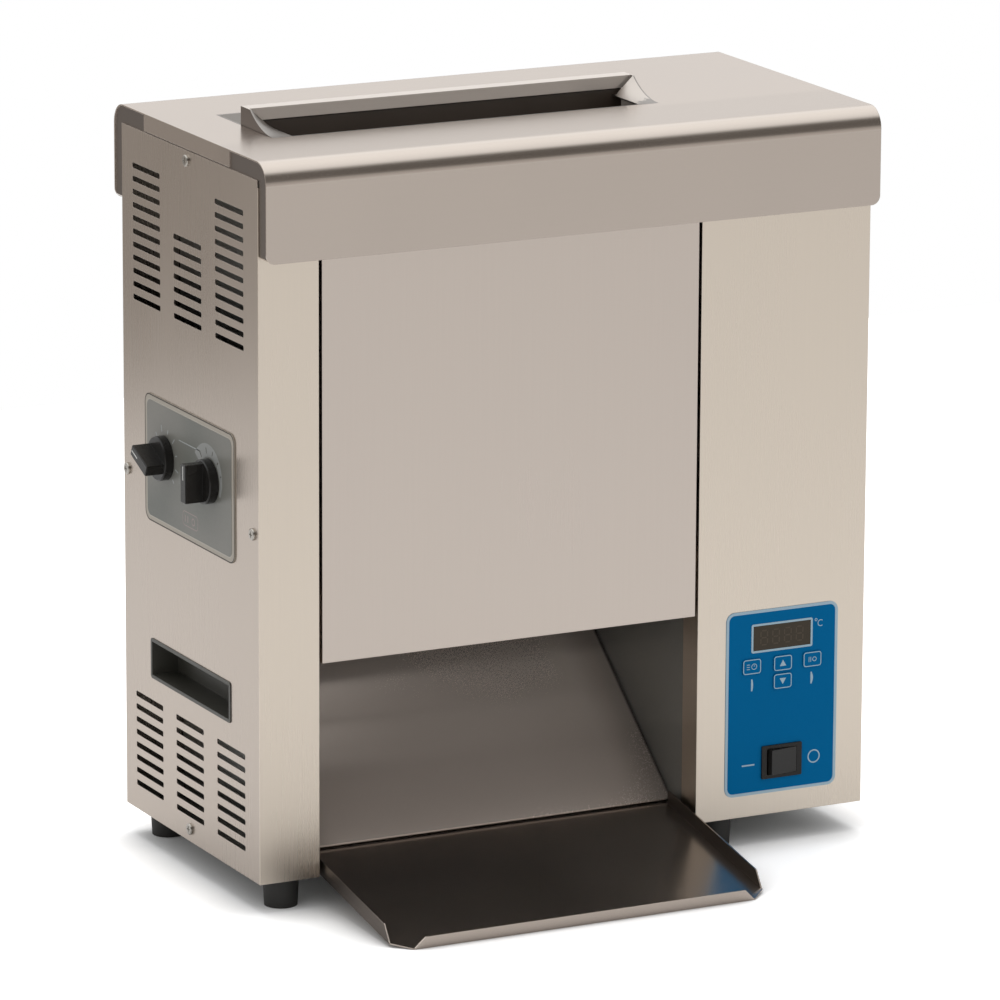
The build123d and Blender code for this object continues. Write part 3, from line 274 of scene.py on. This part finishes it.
def woven(name, colour, other, roughness, thread):
    """Cloth under a coating: threads across x and z, so many millimetres apart."""
    made = Finish(name, colour, roughness)
    turns = 2 * math.pi / (thread * MM)
    warp = made.math("SINE", made.math("MULTIPLY", made.along("X"), turns))
    weft = made.math("SINE", made.math("MULTIPLY", made.along("Z"), turns))
    crossing = made.math("ADD", made.math("MULTIPLY", warp, weft), 1.0)
    weave = made.math("MULTIPLY", crossing, 0.5)
    made.mix_colour(weave, other)
    made.vary_roughness(made.noise(STAINS, detail=3), less=0.1, more=0.1)
    made.bump(weave, WEAVE_DEPTH)
    return made.material


def circuit_board(name, colour, track):
    """Green board with paler tracks that run across it."""
    made = Finish(name, colour, BOARD_ROUGHNESS)
    made.shader.inputs["Coat Weight"].default_value = BOARD_COAT
    tracks = made.node("ShaderNodeTexBrick")
    tracks.inputs["Scale"].default_value = TRACK_SCALE
    tracks.inputs["Mortar Size"].default_value = TRACK_WIDTH
    made.link(made.place, tracks.inputs["Vector"])
    made.mix_colour(tracks.outputs["Fac"], track)
    made.bump(made.noise(even(BOARD_GRAIN)), BOARD_DEPTH)
    return made.material


# Colours

steel = (0.69, 0.612, 0.523)
door_steel = (0.60, 0.53, 0.475)
# Painted shade: the side and rear panels take a darker copy of the front's stainless, for how light falls on
# them
side_shaded_steel = (0.505, 0.44, 0.385)
hood_steel = (0.548, 0.478, 0.423)
# Painted shade: a dark copy of the steel for the hood's end walls, the tray's sides and the feeder's end
# plates
end_shaded_steel = (0.17, 0.145, 0.128)
# Painted shade: the bun feeder's stainless is made dark, as the shade in its slot
feeder_shaded_steel = (0.25, 0.228, 0.21)
# Painted light: paler copies of the feeder's steel for its right corner and its ridge
corner_painted_light_steel = (0.50, 0.45, 0.41)
ridge_painted_light_steel = (0.66, 0.60, 0.55)
chute_steel = (0.70, 0.60, 0.53)
tray_steel = (0.60, 0.52, 0.46)
inner_steel = (0.31, 0.31, 0.292)
screw_steel = (0.43, 0.405, 0.37)
gear_steel = (0.46, 0.46, 0.47)
sheath_grey = (0.16, 0.15, 0.145)
roller_grey = (0.62, 0.62, 0.63)
platen_grey = (0.4, 0.4, 0.41)
bearing_bronze = (0.40, 0.25, 0.11)
board_green = (0.02, 0.12, 0.04)
track_green = (0.10, 0.28, 0.10)
grip_black = (0.045, 0.043, 0.035)
knob_black = (0.011, 0.010, 0.009)
rocker_black = (0.020, 0.019, 0.018)
foot_black = (0.022, 0.021, 0.019)
motor_black = (0.03, 0.03, 0.034)
ceramic_white = (0.72, 0.68, 0.58)
cloth_brown = (0.030, 0.020, 0.014)
cloth_pale_brown = (0.055, 0.038, 0.026)
belt_black = (0.022, 0.020, 0.019)
belt_pale_black = (0.035, 0.032, 0.030)
label_blue = (0.0, 0.116, 0.292)
pale_print = (0.34, 0.46, 0.54)
display_brown = (0.050, 0.040, 0.028)
segment_brown = (0.072, 0.056, 0.040)
rim_grey = (0.34, 0.305, 0.255)
plate_grey = (0.185, 0.177, 0.158)
plate_dark_grey = (0.110, 0.114, 0.100)
outline_brown = (0.05, 0.04, 0.032)
light_line_grey = (0.42, 0.39, 0.34)
scale_grey = (0.235, 0.24, 0.23)
tick_grey = (0.34, 0.36, 0.36)
sign_brown = (0.26, 0.215, 0.20)
pointer_white = (0.62, 0.62, 0.60)


# Finishes of the CAD nodes

def hood_painted_reflection(made):
    """Painted reflection: a slightly darker strip in front of the slots."""
    return made.along_y(-8, 12, low=0.93, high=1.0)


def chute_painted_shade_and_light(made):
    """Painted shade and light: darker at the sides, along their bends and towards the foot, and brighter
    towards the head.
    """
    low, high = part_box("bun_chute")
    bend = made.near_sides(low.x, high.x, reach=3.5, least=0.10)
    side = made.near_sides(low.x, high.x, reach=45, least=0.62)
    sides = made.math("MULTIPLY", bend, side)
    return made.math("MULTIPLY", sides, made.along_y(-60, 100, low=0.72, high=1.25))


print_film = printed_film("pale_print", pale_print, 0.4, gloss=0.1)
# Painted shade: the dark finish for sheet faces that look to the sides near a part's ends
painted_shade_finish = brushed("stainless_painted_shade", end_shaded_steel, 0.45, "z")

finishes = {
    brushed("stainless_front", steel, 0.28, "z"): ["front_left_panel", "front_right_panel"],
    brushed("stainless_door", door_steel, 0.30, "z"): ["front_cover"],
    # Painted shade: the side and rear panels in a darker copy of the front's stainless
    brushed("stainless_side_painted_shade", side_shaded_steel, 0.28, "z"): ["left_side_panel", "right_side_panel", "rear_panel"],
    brushed("stainless_hood", hood_steel, 0.22, "x", shade=hood_painted_reflection): ["top_cover"],
    # Painted shade: the bun feeder in a dark copy of the stainless
    brushed("stainless_feeder", feeder_shaded_steel, 0.3, "x"): ["bun_feeder"],
    brushed("stainless_chute", chute_steel, 0.26, "z", metallic=0.55, shade=chute_painted_shade_and_light): ["bun_chute"],
    brushed("stainless_tray", tray_steel, 0.23, "x", metallic=0.97): ["landing_tray"],
    brushed("mill_steel", inner_steel, 0.36, "z", metallic=0.72): [
        "base_pan", "inner_left_wall", "inner_right_wall", "front_conveyor_frame",
        "rear_conveyor_frame", "platen_brackets",
    ],
    worn_metal("platen_alloy", platen_grey, 0.5, per_metre=even(300), depth=0.06): ["platen"],
    worn_metal("heat_dark_sheath", sheath_grey, 0.45): [
        "heating_elements", "temperature_probe", "limit_thermostat",
    ],
    worn_metal("turned_alloy", roller_grey, 0.3, per_metre=(30, 900, 900), depth=0.01): [
        "sheet_hanger", "front_idler_roller", "rear_idler_roller", "front_drive_roller",
        "rear_drive_roller",
    ],
    worn_metal("cut_steel", gear_steel, 0.3): [
        "motor_pinion", "front_drive_gear", "rear_drive_gear", "front_cam_shaft", "rear_cam_shaft",
    ],
    worn_metal("sintered_bronze", bearing_bronze, 0.42): ["drive_bearings"],
    worn_metal("bright_fastener", screw_steel, 0.26, depth=0.006): [
        "panel_screws", "foot_screws", "cover_hinge_pins",
    ],
    moulded("foot_rubber", foot_black, 0.62, texture=600, depth=0.03): ["rubber_feet"],
    moulded("black_plastic", grip_black, 0.42): [
        "left_hand_grip", "right_hand_grip", "fan_housing", "fan_impeller", "cord_gland",
    ],
    moulded("knob_plastic", knob_black, 0.26, texture=1200, depth=0.005, gloss=0.28): [
        "front_knob", "rear_knob", "power_switch",
    ],
    moulded("rocker_plastic", rocker_black, 0.3, texture=1000, depth=0.006, gloss=0.35): ["switch_rocker"],
    moulded("motor_paint", motor_black, 0.4, texture=300, depth=0.03): ["gearmotor"],
    moulded("terminal_ceramic", ceramic_white, 0.5, texture=200, depth=0.03): ["terminal_block"],
    printed_film("plate_border", rim_grey, 0.42): ["compression_plate"],
    printed_film("plate_film", plate_grey, 0.36, other=plate_dark_grey): ["compression_overlay"],
    printed_film("label_film", label_blue, 0.34, gloss=0.03): [
        "control_label", "key_left", "key_up", "key_down", "key_right",
    ],
    print_film: ["display_bezel"],
    printed_film("display_film", display_brown, 0.22, gloss=0.15): ["display_window"],
    circuit_board("board", board_green, track_green): ["control_board", "relay_board"],
    woven("release_cloth", cloth_brown, cloth_pale_brown, 0.42, thread=1.2): ["release_sheet"],
    woven("belt_silicone", belt_black, belt_pale_black, 0.6, thread=2.4): ["front_belt", "rear_belt"],
}
for material, nodes in finishes.items():
    for node in nodes:
        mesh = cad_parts[node].data
        mesh.materials.clear()
        mesh.materials.append(material)


# Second finishes on folded sheets. The hood's end walls, which lie a sheet's thickness inside its
# ends, the tray's sides and the bun feeder's end plates get a dark finish of painted shade. The
# feeder's right corner and its ridge are paler than the rest of it, as painted light

SIDEWAYS = 0.99
STRAIGHT = 0.9


def paint_shade_on_sides(node, farthest, nearest=-1):
    """Gives the faces that look to the sides, so many millimetres inside a node's ends, a dark finish of
    painted shade.
    """
    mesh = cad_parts[node].data
    low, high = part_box(node)
    mesh.materials.append(painted_shade_finish)
    for polygon in mesh.polygons:
        inside = min(polygon.center.x - low.x, high.x - polygon.center.x)
        if abs(polygon.normal.x) > SIDEWAYS and nearest * MM < inside < farthest * MM:
            polygon.material_index = 1


def paint_light_on_feeder(corner_width, ridge_height, lean=0.05, rise=0.1):
    """Paints light on the feeder's right corner, which leans inwards, and on its ridge's top and faces:
    paler copies of its steel.
    """
    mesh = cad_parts["bun_feeder"].data
    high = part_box("bun_feeder")[1]
    mesh.materials.append(brushed("stainless_feeder_corner_painted_light", corner_painted_light_steel, 0.4, "x"))
    mesh.materials.append(brushed("stainless_feeder_ridge_painted_light", ridge_painted_light_steel, 0.36, "x", metallic=0.7))
    for polygon in mesh.polygons:
        middle, facing = polygon.center, polygon.normal
        in_corner = middle.x > high.x - corner_width * MM
        on_ridge = middle.z > high.z - ridge_height * MM
        if in_corner and facing.x < -lean and facing.z > rise:
            polygon.material_index = 2
        elif on_ridge and (facing.z > STRAIGHT or abs(facing.y) > STRAIGHT):
            polygon.material_index = 3


# Painted shade on the hood's end walls, the tray's sides and the feeder's end plates
paint_shade_on_sides("top_cover", nearest=0.6, farthest=3)
paint_shade_on_sides("landing_tray", farthest=3)
paint_shade_on_sides("bun_feeder", farthest=0.6)
# Painted light on the feeder's right corner and ridge
paint_light_on_feeder(corner_width=24, ridge_height=9)


# The release sheet is one strip of coated cloth over the hanger bar, down both faces of the platen


# Printed marks: outlines in millimetres on a face, made into thin solids

PRINT = 0.06
SUNK = 0.04


def circle(x, z, radius, steps=40):
    turns = [2 * math.pi * step / steps for step in range(steps)]
    return [(x + radius * math.cos(turn), z + radius * math.sin(turn)) for turn in turns]


def rounded(x0, z0, x1, z1, radius, steps=6):
    """A rectangle with round corners."""
    left, right, low, high = x0 + radius, x1 - radius, z0 + radius, z1 - radius
    points = []
    for quarter, (x, z) in enumerate([(right, high), (left, high), (left, low), (right, low)]):
        for step in range(steps + 1):
            turn = math.pi / 2 * (quarter + step / steps)
            points.append((x + radius * math.cos(turn), z + radius * math.sin(turn)))
    return points


def border(x0, z0, x1, z1, radius, width):
    """The two loops of a rounded frame of even width."""
    inner = rounded(x0 + width, z0 + width, x1 - width, z1 - width, max(radius - width, width / 2))
    return [rounded(x0, z0, x1, z1, radius), inner]


def ring(x, z, radius, width):
    return [circle(x, z, radius), circle(x, z, radius - width)]


def bar(x0, z0, x1, z1, width):
    """A straight stroke with square ends between two points."""
    along = Vector((x1 - x0, z1 - z0)).normalized() * width / 2
    side = Vector((-along.y, along.x))
    return [
        (x0 + side.x, z0 + side.y), (x0 - side.x, z0 - side.y),
        (x1 - side.x, z1 - side.y), (x1 + side.x, z1 + side.y),
    ]


def spoke(x, z, degrees, near, far, width):
    """A stroke that points away from a centre, between two distances from it."""
    turn = math.radians(degrees)
    return bar(
        x + near * math.cos(turn), z + near * math.sin(turn),
        x + far * math.cos(turn), z + far * math.sin(turn), width,
    )


def crescent(x, z, radius, start, end, widths, steps=24):
    """A band round a centre whose width changes evenly from one end to the other, in degrees."""
    shares = [step / steps for step in range(steps + 1)]
    turns = [math.radians(start + (end - start) * share) for share in shares]
    grown = [radius + widths[0] + (widths[1] - widths[0]) * share for share in shares]
    inner = [(x + radius * math.cos(turn), z + radius * math.sin(turn)) for turn in turns]
    outer = [(x + far * math.cos(turn), z + far * math.sin(turn)) for far, turn in zip(grown, turns)]
    return inner + outer[::-1]


def half_moon(x, z, width, height, bulge, steps=14):
    """A tall half-moon below a point: straight on the left and bulging to the right."""
    shares = [step / steps for step in range(steps + 1)]
    right = [(x + width / 2 + bulge * math.sin(math.pi * share), z - height * share) for share in shares]
    left = [(x - width / 2, z - height * share) for share in reversed(shares)]
    return right + left


def print_on(name, loops, place, body, material, height=PRINT):
    """Makes closed loops into one thin solid on a face; a loop inside another one is a hole."""
    curve = bpy.data.curves.new(name, "CURVE")
    curve.dimensions = "2D"
    curve.fill_mode = "BOTH"
    curve.extrude = (height + SUNK) / 2 * MM
    for loop in loops:
        spline = curve.splines.new("POLY")
        spline.points.add(len(loop) - 1)
        for point, (x, z) in zip(spline.points, loop):
            point.co = (x * MM, z * MM, 0, 1)
        spline.use_cyclic_u = True
    drawn = bpy.data.objects.new(name + "_outline", curve)
    bpy.context.scene.collection.objects.link(drawn)
    bpy.context.view_layer.update()
    mesh = bpy.data.meshes.new_from_object(drawn)
    bpy.data.objects.remove(drawn)
    lift = Matrix.Translation((0, 0, (height - SUNK) / 2 * MM))
    mesh.transform(place @ lift)
    mesh.materials.clear()
    mesh.materials.append(material)
    made = bpy.data.objects.new(name, mesh)
    bpy.context.scene.collection.objects.link(made)
    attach(made, body)
    return made


def front_place(node):
    """A face that looks forwards: its origin at the low left corner of a node's front."""
    low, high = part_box(node)
    return Matrix.Translation((low.x, low.y, low.z)) @ FRONT_FACE, (high - low) / MM


def left_place(node):
    """A face that looks to the left: its origin at the low rear corner of a node's left side."""
    low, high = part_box(node)
    return Matrix.Translation((low.x, high.y, low.z)) @ LEFT_FACE, (high - low) / MM


# Console label: a pale border, the unit beside the display, two bun signs below the outer keys, and
# the signs on both sides of the switch

label, label_size = front_place("control_label")
label_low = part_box("control_label")[0]
label_corner = 8
label_border = 2.6


def on_label(node):
    """Where a node lies on the label, in the label's millimetres: x0, z0, x1, z1."""
    low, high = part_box(node)
    return [
        (low.x - label_low.x) / MM, (low.z - label_low.z) / MM,
        (high.x - label_low.x) / MM, (high.z - label_low.z) / MM,
    ]


def label_print(name, loops):
    return print_on(name, loops, label, "casing", print_film)


label_print("label_border", border(0, 0, label_size.x, label_size.z, label_corner, label_border))

display = on_label("display_bezel")
degree_radius = 1.3
degree_line = 0.55
degree_x = display[2] + 3.4
degree_z = display[3] - 2.6
letter_radius = 2.3
letter_line = 0.7
letter_x = degree_x + 4.6
letter_z = degree_z - 3.2
letter_start = 50
letter_end = 310
label_print(
    "unit_sign",
    [
        *ring(degree_x, degree_z, degree_radius, degree_line),
        crescent(letter_x, letter_z, letter_radius, letter_start, letter_end, (letter_line, letter_line)),
    ],
)

left_key = on_label("key_left")
right_key = on_label("key_right")
sign_drop = 4.6
sign_height = 10.5
sign_top = left_key[1] - sign_drop
heel_x = (left_key[0] + left_key[2]) / 2 + 0.4
heel_width = 1.2
heel_bulge = 0.7
crown_x = (right_key[0] + right_key[2]) / 2 - 0.6
crown_width = 1.0
crown_bulge = 1.4
label_print("heel_sign", [half_moon(heel_x, sign_top, heel_width, sign_height, heel_bulge)])
label_print("crown_sign", [half_moon(crown_x, sign_top, crown_width, sign_height, crown_bulge)])

switch = on_label("power_switch")
switch_gap = 6.6
dash_z = (switch[1] + switch[3]) / 2 - 0.9
dash_length = 12.2
dash_line = 1.3
dash_end = switch[0] - switch_gap
off_z = dash_z + 0.5
off_radius = 6
off_line = 1.1
label_print("on_sign", [bar(dash_end - dash_length, dash_z, dash_end, dash_z, dash_line)])
label_print("off_sign", ring(switch[2] + switch_gap + off_radius, off_z, off_radius, off_line))


# Signs on the four keys; they move with the keys

key_inset = 0.4
key_corner = 2.4
key_border = 0.75
arrow_half_width = 3.1
arrow_foot = 2.6
arrow_tip = 2.8
sign_line = 0.6
timer_lines = (-5.2, -2.2)
timer_rises = (-2, 0, 2)
clock_shift = 2
clock_radius = 2.7
hand_length = 1.6
hand_line = 0.5
program_shifts = (-3.4, -1.7)
program_half_height = 2.2
program_ring_shift = 1.9
program_ring_radius = 2.1


def key_print(node, name, body, signs):
    place, size = front_place(node)
    middle = (size.x / 2, size.z / 2)
    loops = border(key_inset, key_inset, size.x - key_inset, size.z - key_inset, key_corner, key_border)
    print_on(name, loops + signs(*middle), place, body, print_film)


def up_sign(x, z):
    left, right = x - arrow_half_width, x + arrow_half_width
    return [[(left, z - arrow_foot), (right, z - arrow_foot), (x, z + arrow_tip)]]


def down_sign(x, z):
    left, right = x - arrow_half_width, x + arrow_half_width
    return [[(left, z + arrow_foot), (x, z - arrow_tip), (right, z + arrow_foot)]]


def timer_sign(x, z):
    """Three short lines beside a small clock."""
    start, end = timer_lines
    lines = [bar(x + start, z + rise, x + end, z + rise, sign_line) for rise in timer_rises]
    clock_x = x + clock_shift
    hand = bar(clock_x, z, clock_x, z + hand_length, hand_line)
    return [*lines, *ring(clock_x, z, clock_radius, sign_line), hand]


def program_sign(x, z):
    """Two upright lines beside a small ring."""
    low, high = z - program_half_height, z + program_half_height
    lines = [bar(x + shift, low, x + shift, high, sign_line) for shift in program_shifts]
    return [*lines, *ring(x + program_ring_shift, z, program_ring_radius, sign_line)]


key_print("key_left", "timer_key_sign", "left_key", timer_sign)
key_print("key_up", "up_key_sign", "up_key", up_sign)
key_print("key_down", "down_key_sign", "down_key", down_sign)
key_print("key_right", "program_key_sign", "right_key", program_sign)


# Faint unlit segments on the display's film

display_face, display_size = front_place("display_window")
segment_film = printed_film("unlit_segments", segment_brown, 0.3, gloss=0.15)
segment_height = 0.02
digit_width = 6.4
digit_height = 12.5
digit_pitch = 11.5
digits = 4
stroke = 1.2
stroke_gap = 0.3


def digit(x, z):
    """The seven segments of one digit."""
    right = x + digit_width
    middle = z + digit_height / 2
    top = z + digit_height
    inset = stroke / 2 + stroke_gap
    flat = [bar(x + inset, level, right - inset, level, stroke) for level in (z, middle, top)]
    ends = [(z + inset, middle - inset), (middle + inset, top - inset)]
    upright = [bar(side, low, side, high, stroke) for side in (x, right) for low, high in ends]
    return flat + upright


first_digit = display_size.x / 2 - digit_pitch * (digits - 1) / 2 - digit_width / 2
digit_z = (display_size.z - digit_height) / 2
segments = []
for place in range(digits):
    segments += digit(first_digit + place * digit_pitch, digit_z)
print_on("display_segments", segments, display_face, "casing", segment_film, segment_height)


# Control plate: a fine dark outline, a light line round its film, scales round the knobs, a line
# between them and a small sign below

overlay, overlay_size = left_place("compression_overlay")
overlay_low, overlay_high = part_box("compression_overlay")
plate, plate_size = left_place("compression_plate")
dark_line = printed_film("plate_outline", outline_brown, 0.5)
light_line = printed_film("plate_light_line", light_line_grey, 0.45)
scale_film = printed_film("scale_print", scale_grey, 0.4)
tick_film = printed_film("tick_print", tick_grey, 0.4)
sign_film = printed_film("plate_sign", sign_brown, 0.45)


def knob_on_overlay(node):
    """A knob's centre and radius in the overlay's millimetres."""
    low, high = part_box(node)
    middle = (low + high) / 2
    return (overlay_high.y - middle.y) / MM, (middle.z - overlay_low.z) / MM, (high.y - low.y) / MM / 2


def overlay_print(name, loops, material, height=PRINT):
    return print_on(name, loops, overlay, "casing", material, height)


plate_corner = 9
plate_line = 1.1
overlay_line = 0.9
overlay_corner = 7.2
overlay_sheet = 0.3
plate_frame = border(0, 0, plate_size.y, plate_size.z, plate_corner, plate_line)
overlay_frame = border(
    -overlay_line, -overlay_line, overlay_size.y + overlay_line, overlay_size.z + overlay_line,
    overlay_corner, overlay_line,
)
below_overlay = overlay @ Matrix.Translation((0, 0, -overlay_sheet * MM))
print_on("plate_outline", plate_frame, plate, "casing", dark_line)
print_on("overlay_outline", overlay_frame, below_overlay, "casing", light_line)

front_x, front_z, knob_radius = knob_on_overlay("front_knob")
rear_x, rear_z, _ = knob_on_overlay("rear_knob")

scale_radius = knob_radius + 1.5
scale_start = 148
scale_end = -25
scale_widths = (14, 3)
scale = crescent(front_x, front_z, scale_radius, scale_start, scale_end, scale_widths)
overlay_print("compression_scale", [scale], scale_film)

mark_count = 5
mark_start = 132
mark_step = 28
mark_near = knob_radius + 4
mark_length = 6
mark_line = 1.1
mark_height = PRINT + 0.03
scale_marks = [
    spoke(
        front_x, front_z, mark_start - mark_step * number,
        mark_near, mark_near + mark_length - number, mark_line,
    )
    for number in range(mark_count)
]
overlay_print("compression_scale_marks", scale_marks, dark_line, mark_height)

tick_count = 8
tick_start = 165
tick_step = 30
tick_near = knob_radius + 3
tick_ends = (knob_radius + 9, knob_radius + 7)
tick_line = 1.0
ticks = [
    spoke(rear_x, rear_z, tick_start - tick_step * number, tick_near, tick_ends[number % 2], tick_line)
    for number in range(tick_count)
]
overlay_print("rear_knob_ticks", ticks, tick_film)

rule_z = rear_z + 21.5
rule_start = rear_x + 29
rule_end = front_x - 19.5
rule_line = 0.7
overlay_print("plate_rule", [bar(rule_start, rule_z, rule_end, rule_z, rule_line)], tick_film)

sign_x = front_x - 39
sign_z = front_z - 43
sign_width = 31
sign_half_height = 6.5
sign_corner = 4
sign_border = 0.9
slot_shifts = (-10, -5)
slot_half_height = 3
slot_line = 1.6
button_shift = 6
button_radius = 3.4
button_line = 1.2
sign_frame = border(
    sign_x - sign_width / 2, sign_z - sign_half_height,
    sign_x + sign_width / 2, sign_z + sign_half_height, sign_corner, sign_border,
)
slots = [
    bar(sign_x + shift, sign_z - slot_half_height, sign_x + shift, sign_z + slot_half_height, slot_line)
    for shift in slot_shifts
]
button = ring(sign_x + button_shift, sign_z, button_radius, button_line)
overlay_print("two_slot_sign", sign_frame + slots + button, sign_film)


# Pointer lines on the knobs, across the bar's outer face

pointer_film = moulded("pointer_white", pointer_white, 0.4)
pointer_near = 3
pointer_far = 15
pointer_line = 1.2
pointer_height = 0.01
rear_knob_turn = -67


def knob_pointer(node, turn):
    low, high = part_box(node)
    centre = Vector((low.x, (low.y + high.y) / 2, (low.z + high.z) / 2))
    place = Matrix.Translation(centre) @ Matrix.Rotation(math.radians(turn), 4, "X") @ LEFT_FACE
    line = bar(0, pointer_near, 0, pointer_far, pointer_line)
    print_on(node + "_pointer", [line], place, node, pointer_film, pointer_height)


knob_pointer("front_knob", 0)
knob_pointer("rear_knob", rear_knob_turn)


# Studio, in metres: a white floor with the object's shadow, one large soft lamp and a plain world

FLOOR_X = (-1.6, 2.4)
FLOOR_Y = (-3.6, 1.7)
FLOOR_COLOUR = 0.95
FLOOR_SEEN = 1.6
CONTACT_SAMPLES = 12
CONTACT_REACH = 0.05
CONTACT_DEEPEST = 0.45
CONTACT_SHADE = 0.55
AMBIENT = 0.78
WHITE = (1, 1, 1, 1)


def floor_piece():
    """A floor that looks white to the camera, with a painted contact shadow from an occlusion node where
    something stands on it.
    """
    mesh = bpy.data.meshes.new("floor")
    left, right = FLOOR_X
    near, far = FLOOR_Y
    corners = [(left, near, 0), (right, near, 0), (right, far, 0), (left, far, 0)]
    mesh.from_pydata(corners, [], [(0, 1, 2, 3)])
    made = bpy.data.objects.new("floor", mesh)
    bpy.context.scene.collection.objects.link(made)
    look = bpy.data.materials.new("floor_white")
    look.use_nodes = True
    nodes = look.node_tree.nodes
    links = look.node_tree.links
    nodes.remove(nodes["Principled BSDF"])
    diffuse = nodes.new("ShaderNodeBsdfDiffuse")
    path = nodes.new("ShaderNodeLightPath")
    shade = nodes.new("ShaderNodeMapRange")
    shade.inputs["To Min"].default_value = FLOOR_COLOUR
    shade.inputs["To Max"].default_value = FLOOR_SEEN
    links.new(path.outputs["Is Camera Ray"], shade.inputs["Value"])
    # Painted contact shadow: an occlusion node darkens the floor's colour near the object
    contact = nodes.new("ShaderNodeAmbientOcclusion")
    contact.samples = CONTACT_SAMPLES
    contact.inputs["Distance"].default_value = CONTACT_REACH
    kept = nodes.new("ShaderNodeMapRange")
    kept.inputs["From Min"].default_value = CONTACT_DEEPEST
    kept.inputs["To Min"].default_value = CONTACT_SHADE
    links.new(contact.outputs["AO"], kept.inputs["Value"])
    both = nodes.new("ShaderNodeMath")
    both.operation = "MULTIPLY"
    links.new(shade.outputs[0], both.inputs[0])
    links.new(kept.outputs[0], both.inputs[1])
    links.new(both.outputs[0], diffuse.inputs["Color"])
    links.new(diffuse.outputs[0], nodes["Material Output"].inputs["Surface"])
    mesh.materials.append(look)


def soft_lamp(name, place, size, power):
    """A square lamp that looks at the origin and doesn't show in metal."""
    data = bpy.data.lights.new(name, "AREA")
    data.shape = "SQUARE"
    data.size = size
    data.energy = power
    made = bpy.data.objects.new(name, data)
    bpy.context.scene.collection.objects.link(made)
    made.location = place
    made.rotation_euler = (-Vector(place)).to_track_quat("-Z", "Y").to_euler()
    made.visible_glossy = False


# Brightness of the world in metal against the sine of the elevation, in front of and behind the object

DARK = (0.19, 0.18, 0.17)
FRONT_STOPS = [
    (-0.30, 1.0, 0.98, 0.96), (-0.04, 0.82, 0.80, 0.78), (0.14, *DARK),
    (0.62, *DARK), (0.84, 1.40, 1.44, 1.46), (1.0, 1.56, 1.60, 1.62),
]
BACK_STOPS = [
    (-0.60, 0.62, 0.59, 0.56), (-0.08, 0.36, 0.335, 0.31), (0.02, 0.96, 0.945, 0.93),
    (0.32, 0.98, 0.96, 0.945), (0.56, 1.52, 1.56, 1.58), (1.0, 1.56, 1.60, 1.62),
]
SIDE_BLEND = 0.25


def studio_world():
    """Plain light for diffuse surfaces, white for the camera, and broad soft cards for metal."""
    world = bpy.data.worlds.new("studio")
    bpy.context.scene.world = world
    world.use_nodes = True
    world.cycles.sampling_method = "NONE"
    nodes = world.node_tree.nodes
    links = world.node_tree.links
    place = nodes.new("ShaderNodeTexCoord")
    split = nodes.new("ShaderNodeSeparateXYZ")
    links.new(place.outputs["Generated"], split.inputs[0])

    def ramp(stops):
        """Brightness against height: stops are (sine of elevation, red, green, blue)."""
        level = nodes.new("ShaderNodeMapRange")
        level.inputs["From Min"].default_value = -1
        links.new(split.outputs["Z"], level.inputs["Value"])
        made = nodes.new("ShaderNodeValToRGB")
        made.color_ramp.interpolation = "EASE"
        elements = made.color_ramp.elements
        while len(elements) < len(stops):
            elements.new(0.5)
        for element, (height, *colour) in zip(elements, stops):
            element.position = (height + 1) / 2
            element.color = (*colour, 1)
        links.new(level.outputs[0], made.inputs["Fac"])
        return made.outputs["Color"]

    def mix(fac, first, second):
        made = nodes.new("ShaderNodeMix")
        made.data_type = "RGBA"
        links.new(fac, made.inputs["Factor"])
        for socket, value in ((made.inputs["A"], first), (made.inputs["B"], second)):
            if isinstance(value, tuple):
                socket.default_value = value
            else:
                links.new(value, socket)
        return made.outputs["Result"]

    side = nodes.new("ShaderNodeMapRange")
    side.interpolation_type = "SMOOTHSTEP"
    side.inputs["From Min"].default_value = -SIDE_BLEND
    side.inputs["From Max"].default_value = SIDE_BLEND
    links.new(split.outputs["Y"], side.inputs["Value"])
    path = nodes.new("ShaderNodeLightPath")
    cards = mix(side.outputs[0], ramp(FRONT_STOPS), ramp(BACK_STOPS))
    plain = (AMBIENT, AMBIENT, AMBIENT, 1)
    lit = mix(path.outputs["Is Glossy Ray"], plain, cards)
    seen = mix(path.outputs["Is Camera Ray"], lit, WHITE)
    links.new(seen, nodes["Background"].inputs["Color"])


floor_piece()
soft_lamp("overhead_lamp", place=(0.1, 0.6, 3.2), size=2.2, power=40)
studio_world()


# Camera: the photograph's viewing angle, placed from the casing's low front left corner in metres

camera_offset = Vector((-2.3918, -5.1783, 1.7523))
camera_azimuth = -26.776
camera_elevation = 14.003
camera_roll = 0.277
camera_lens = 258.29
camera_sensor = 36


def camera_turn():
    """The camera's axes as a matrix: right, up and back, from its azimuth, elevation and roll."""
    angles = (camera_azimuth, camera_elevation, camera_roll)
    azimuth, elevation, roll = (math.radians(angle) for angle in angles)
    back = Vector((
        math.sin(azimuth) * math.cos(elevation),
        -math.cos(azimuth) * math.cos(elevation),
        math.sin(elevation),
    ))
    level_right = (-back).cross(Vector((0, 0, 1))).normalized()
    level_up = level_right.cross(-back)
    right = level_right * math.cos(roll) + level_up * math.sin(roll)
    up = level_up * math.cos(roll) - level_right * math.sin(roll)
    return Matrix((right, up, back)).transposed().to_4x4()


data = bpy.data.cameras.new("camera")
data.sensor_width = camera_sensor
data.lens = camera_lens
camera = bpy.data.objects.new("camera", data)
bpy.context.scene.collection.objects.link(camera)
camera.matrix_world = Matrix.Translation(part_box("front_left_panel")[0] + camera_offset) @ camera_turn()
bpy.context.scene.camera = camera
bpy.context.scene.view_settings.view_transform = "Standard"
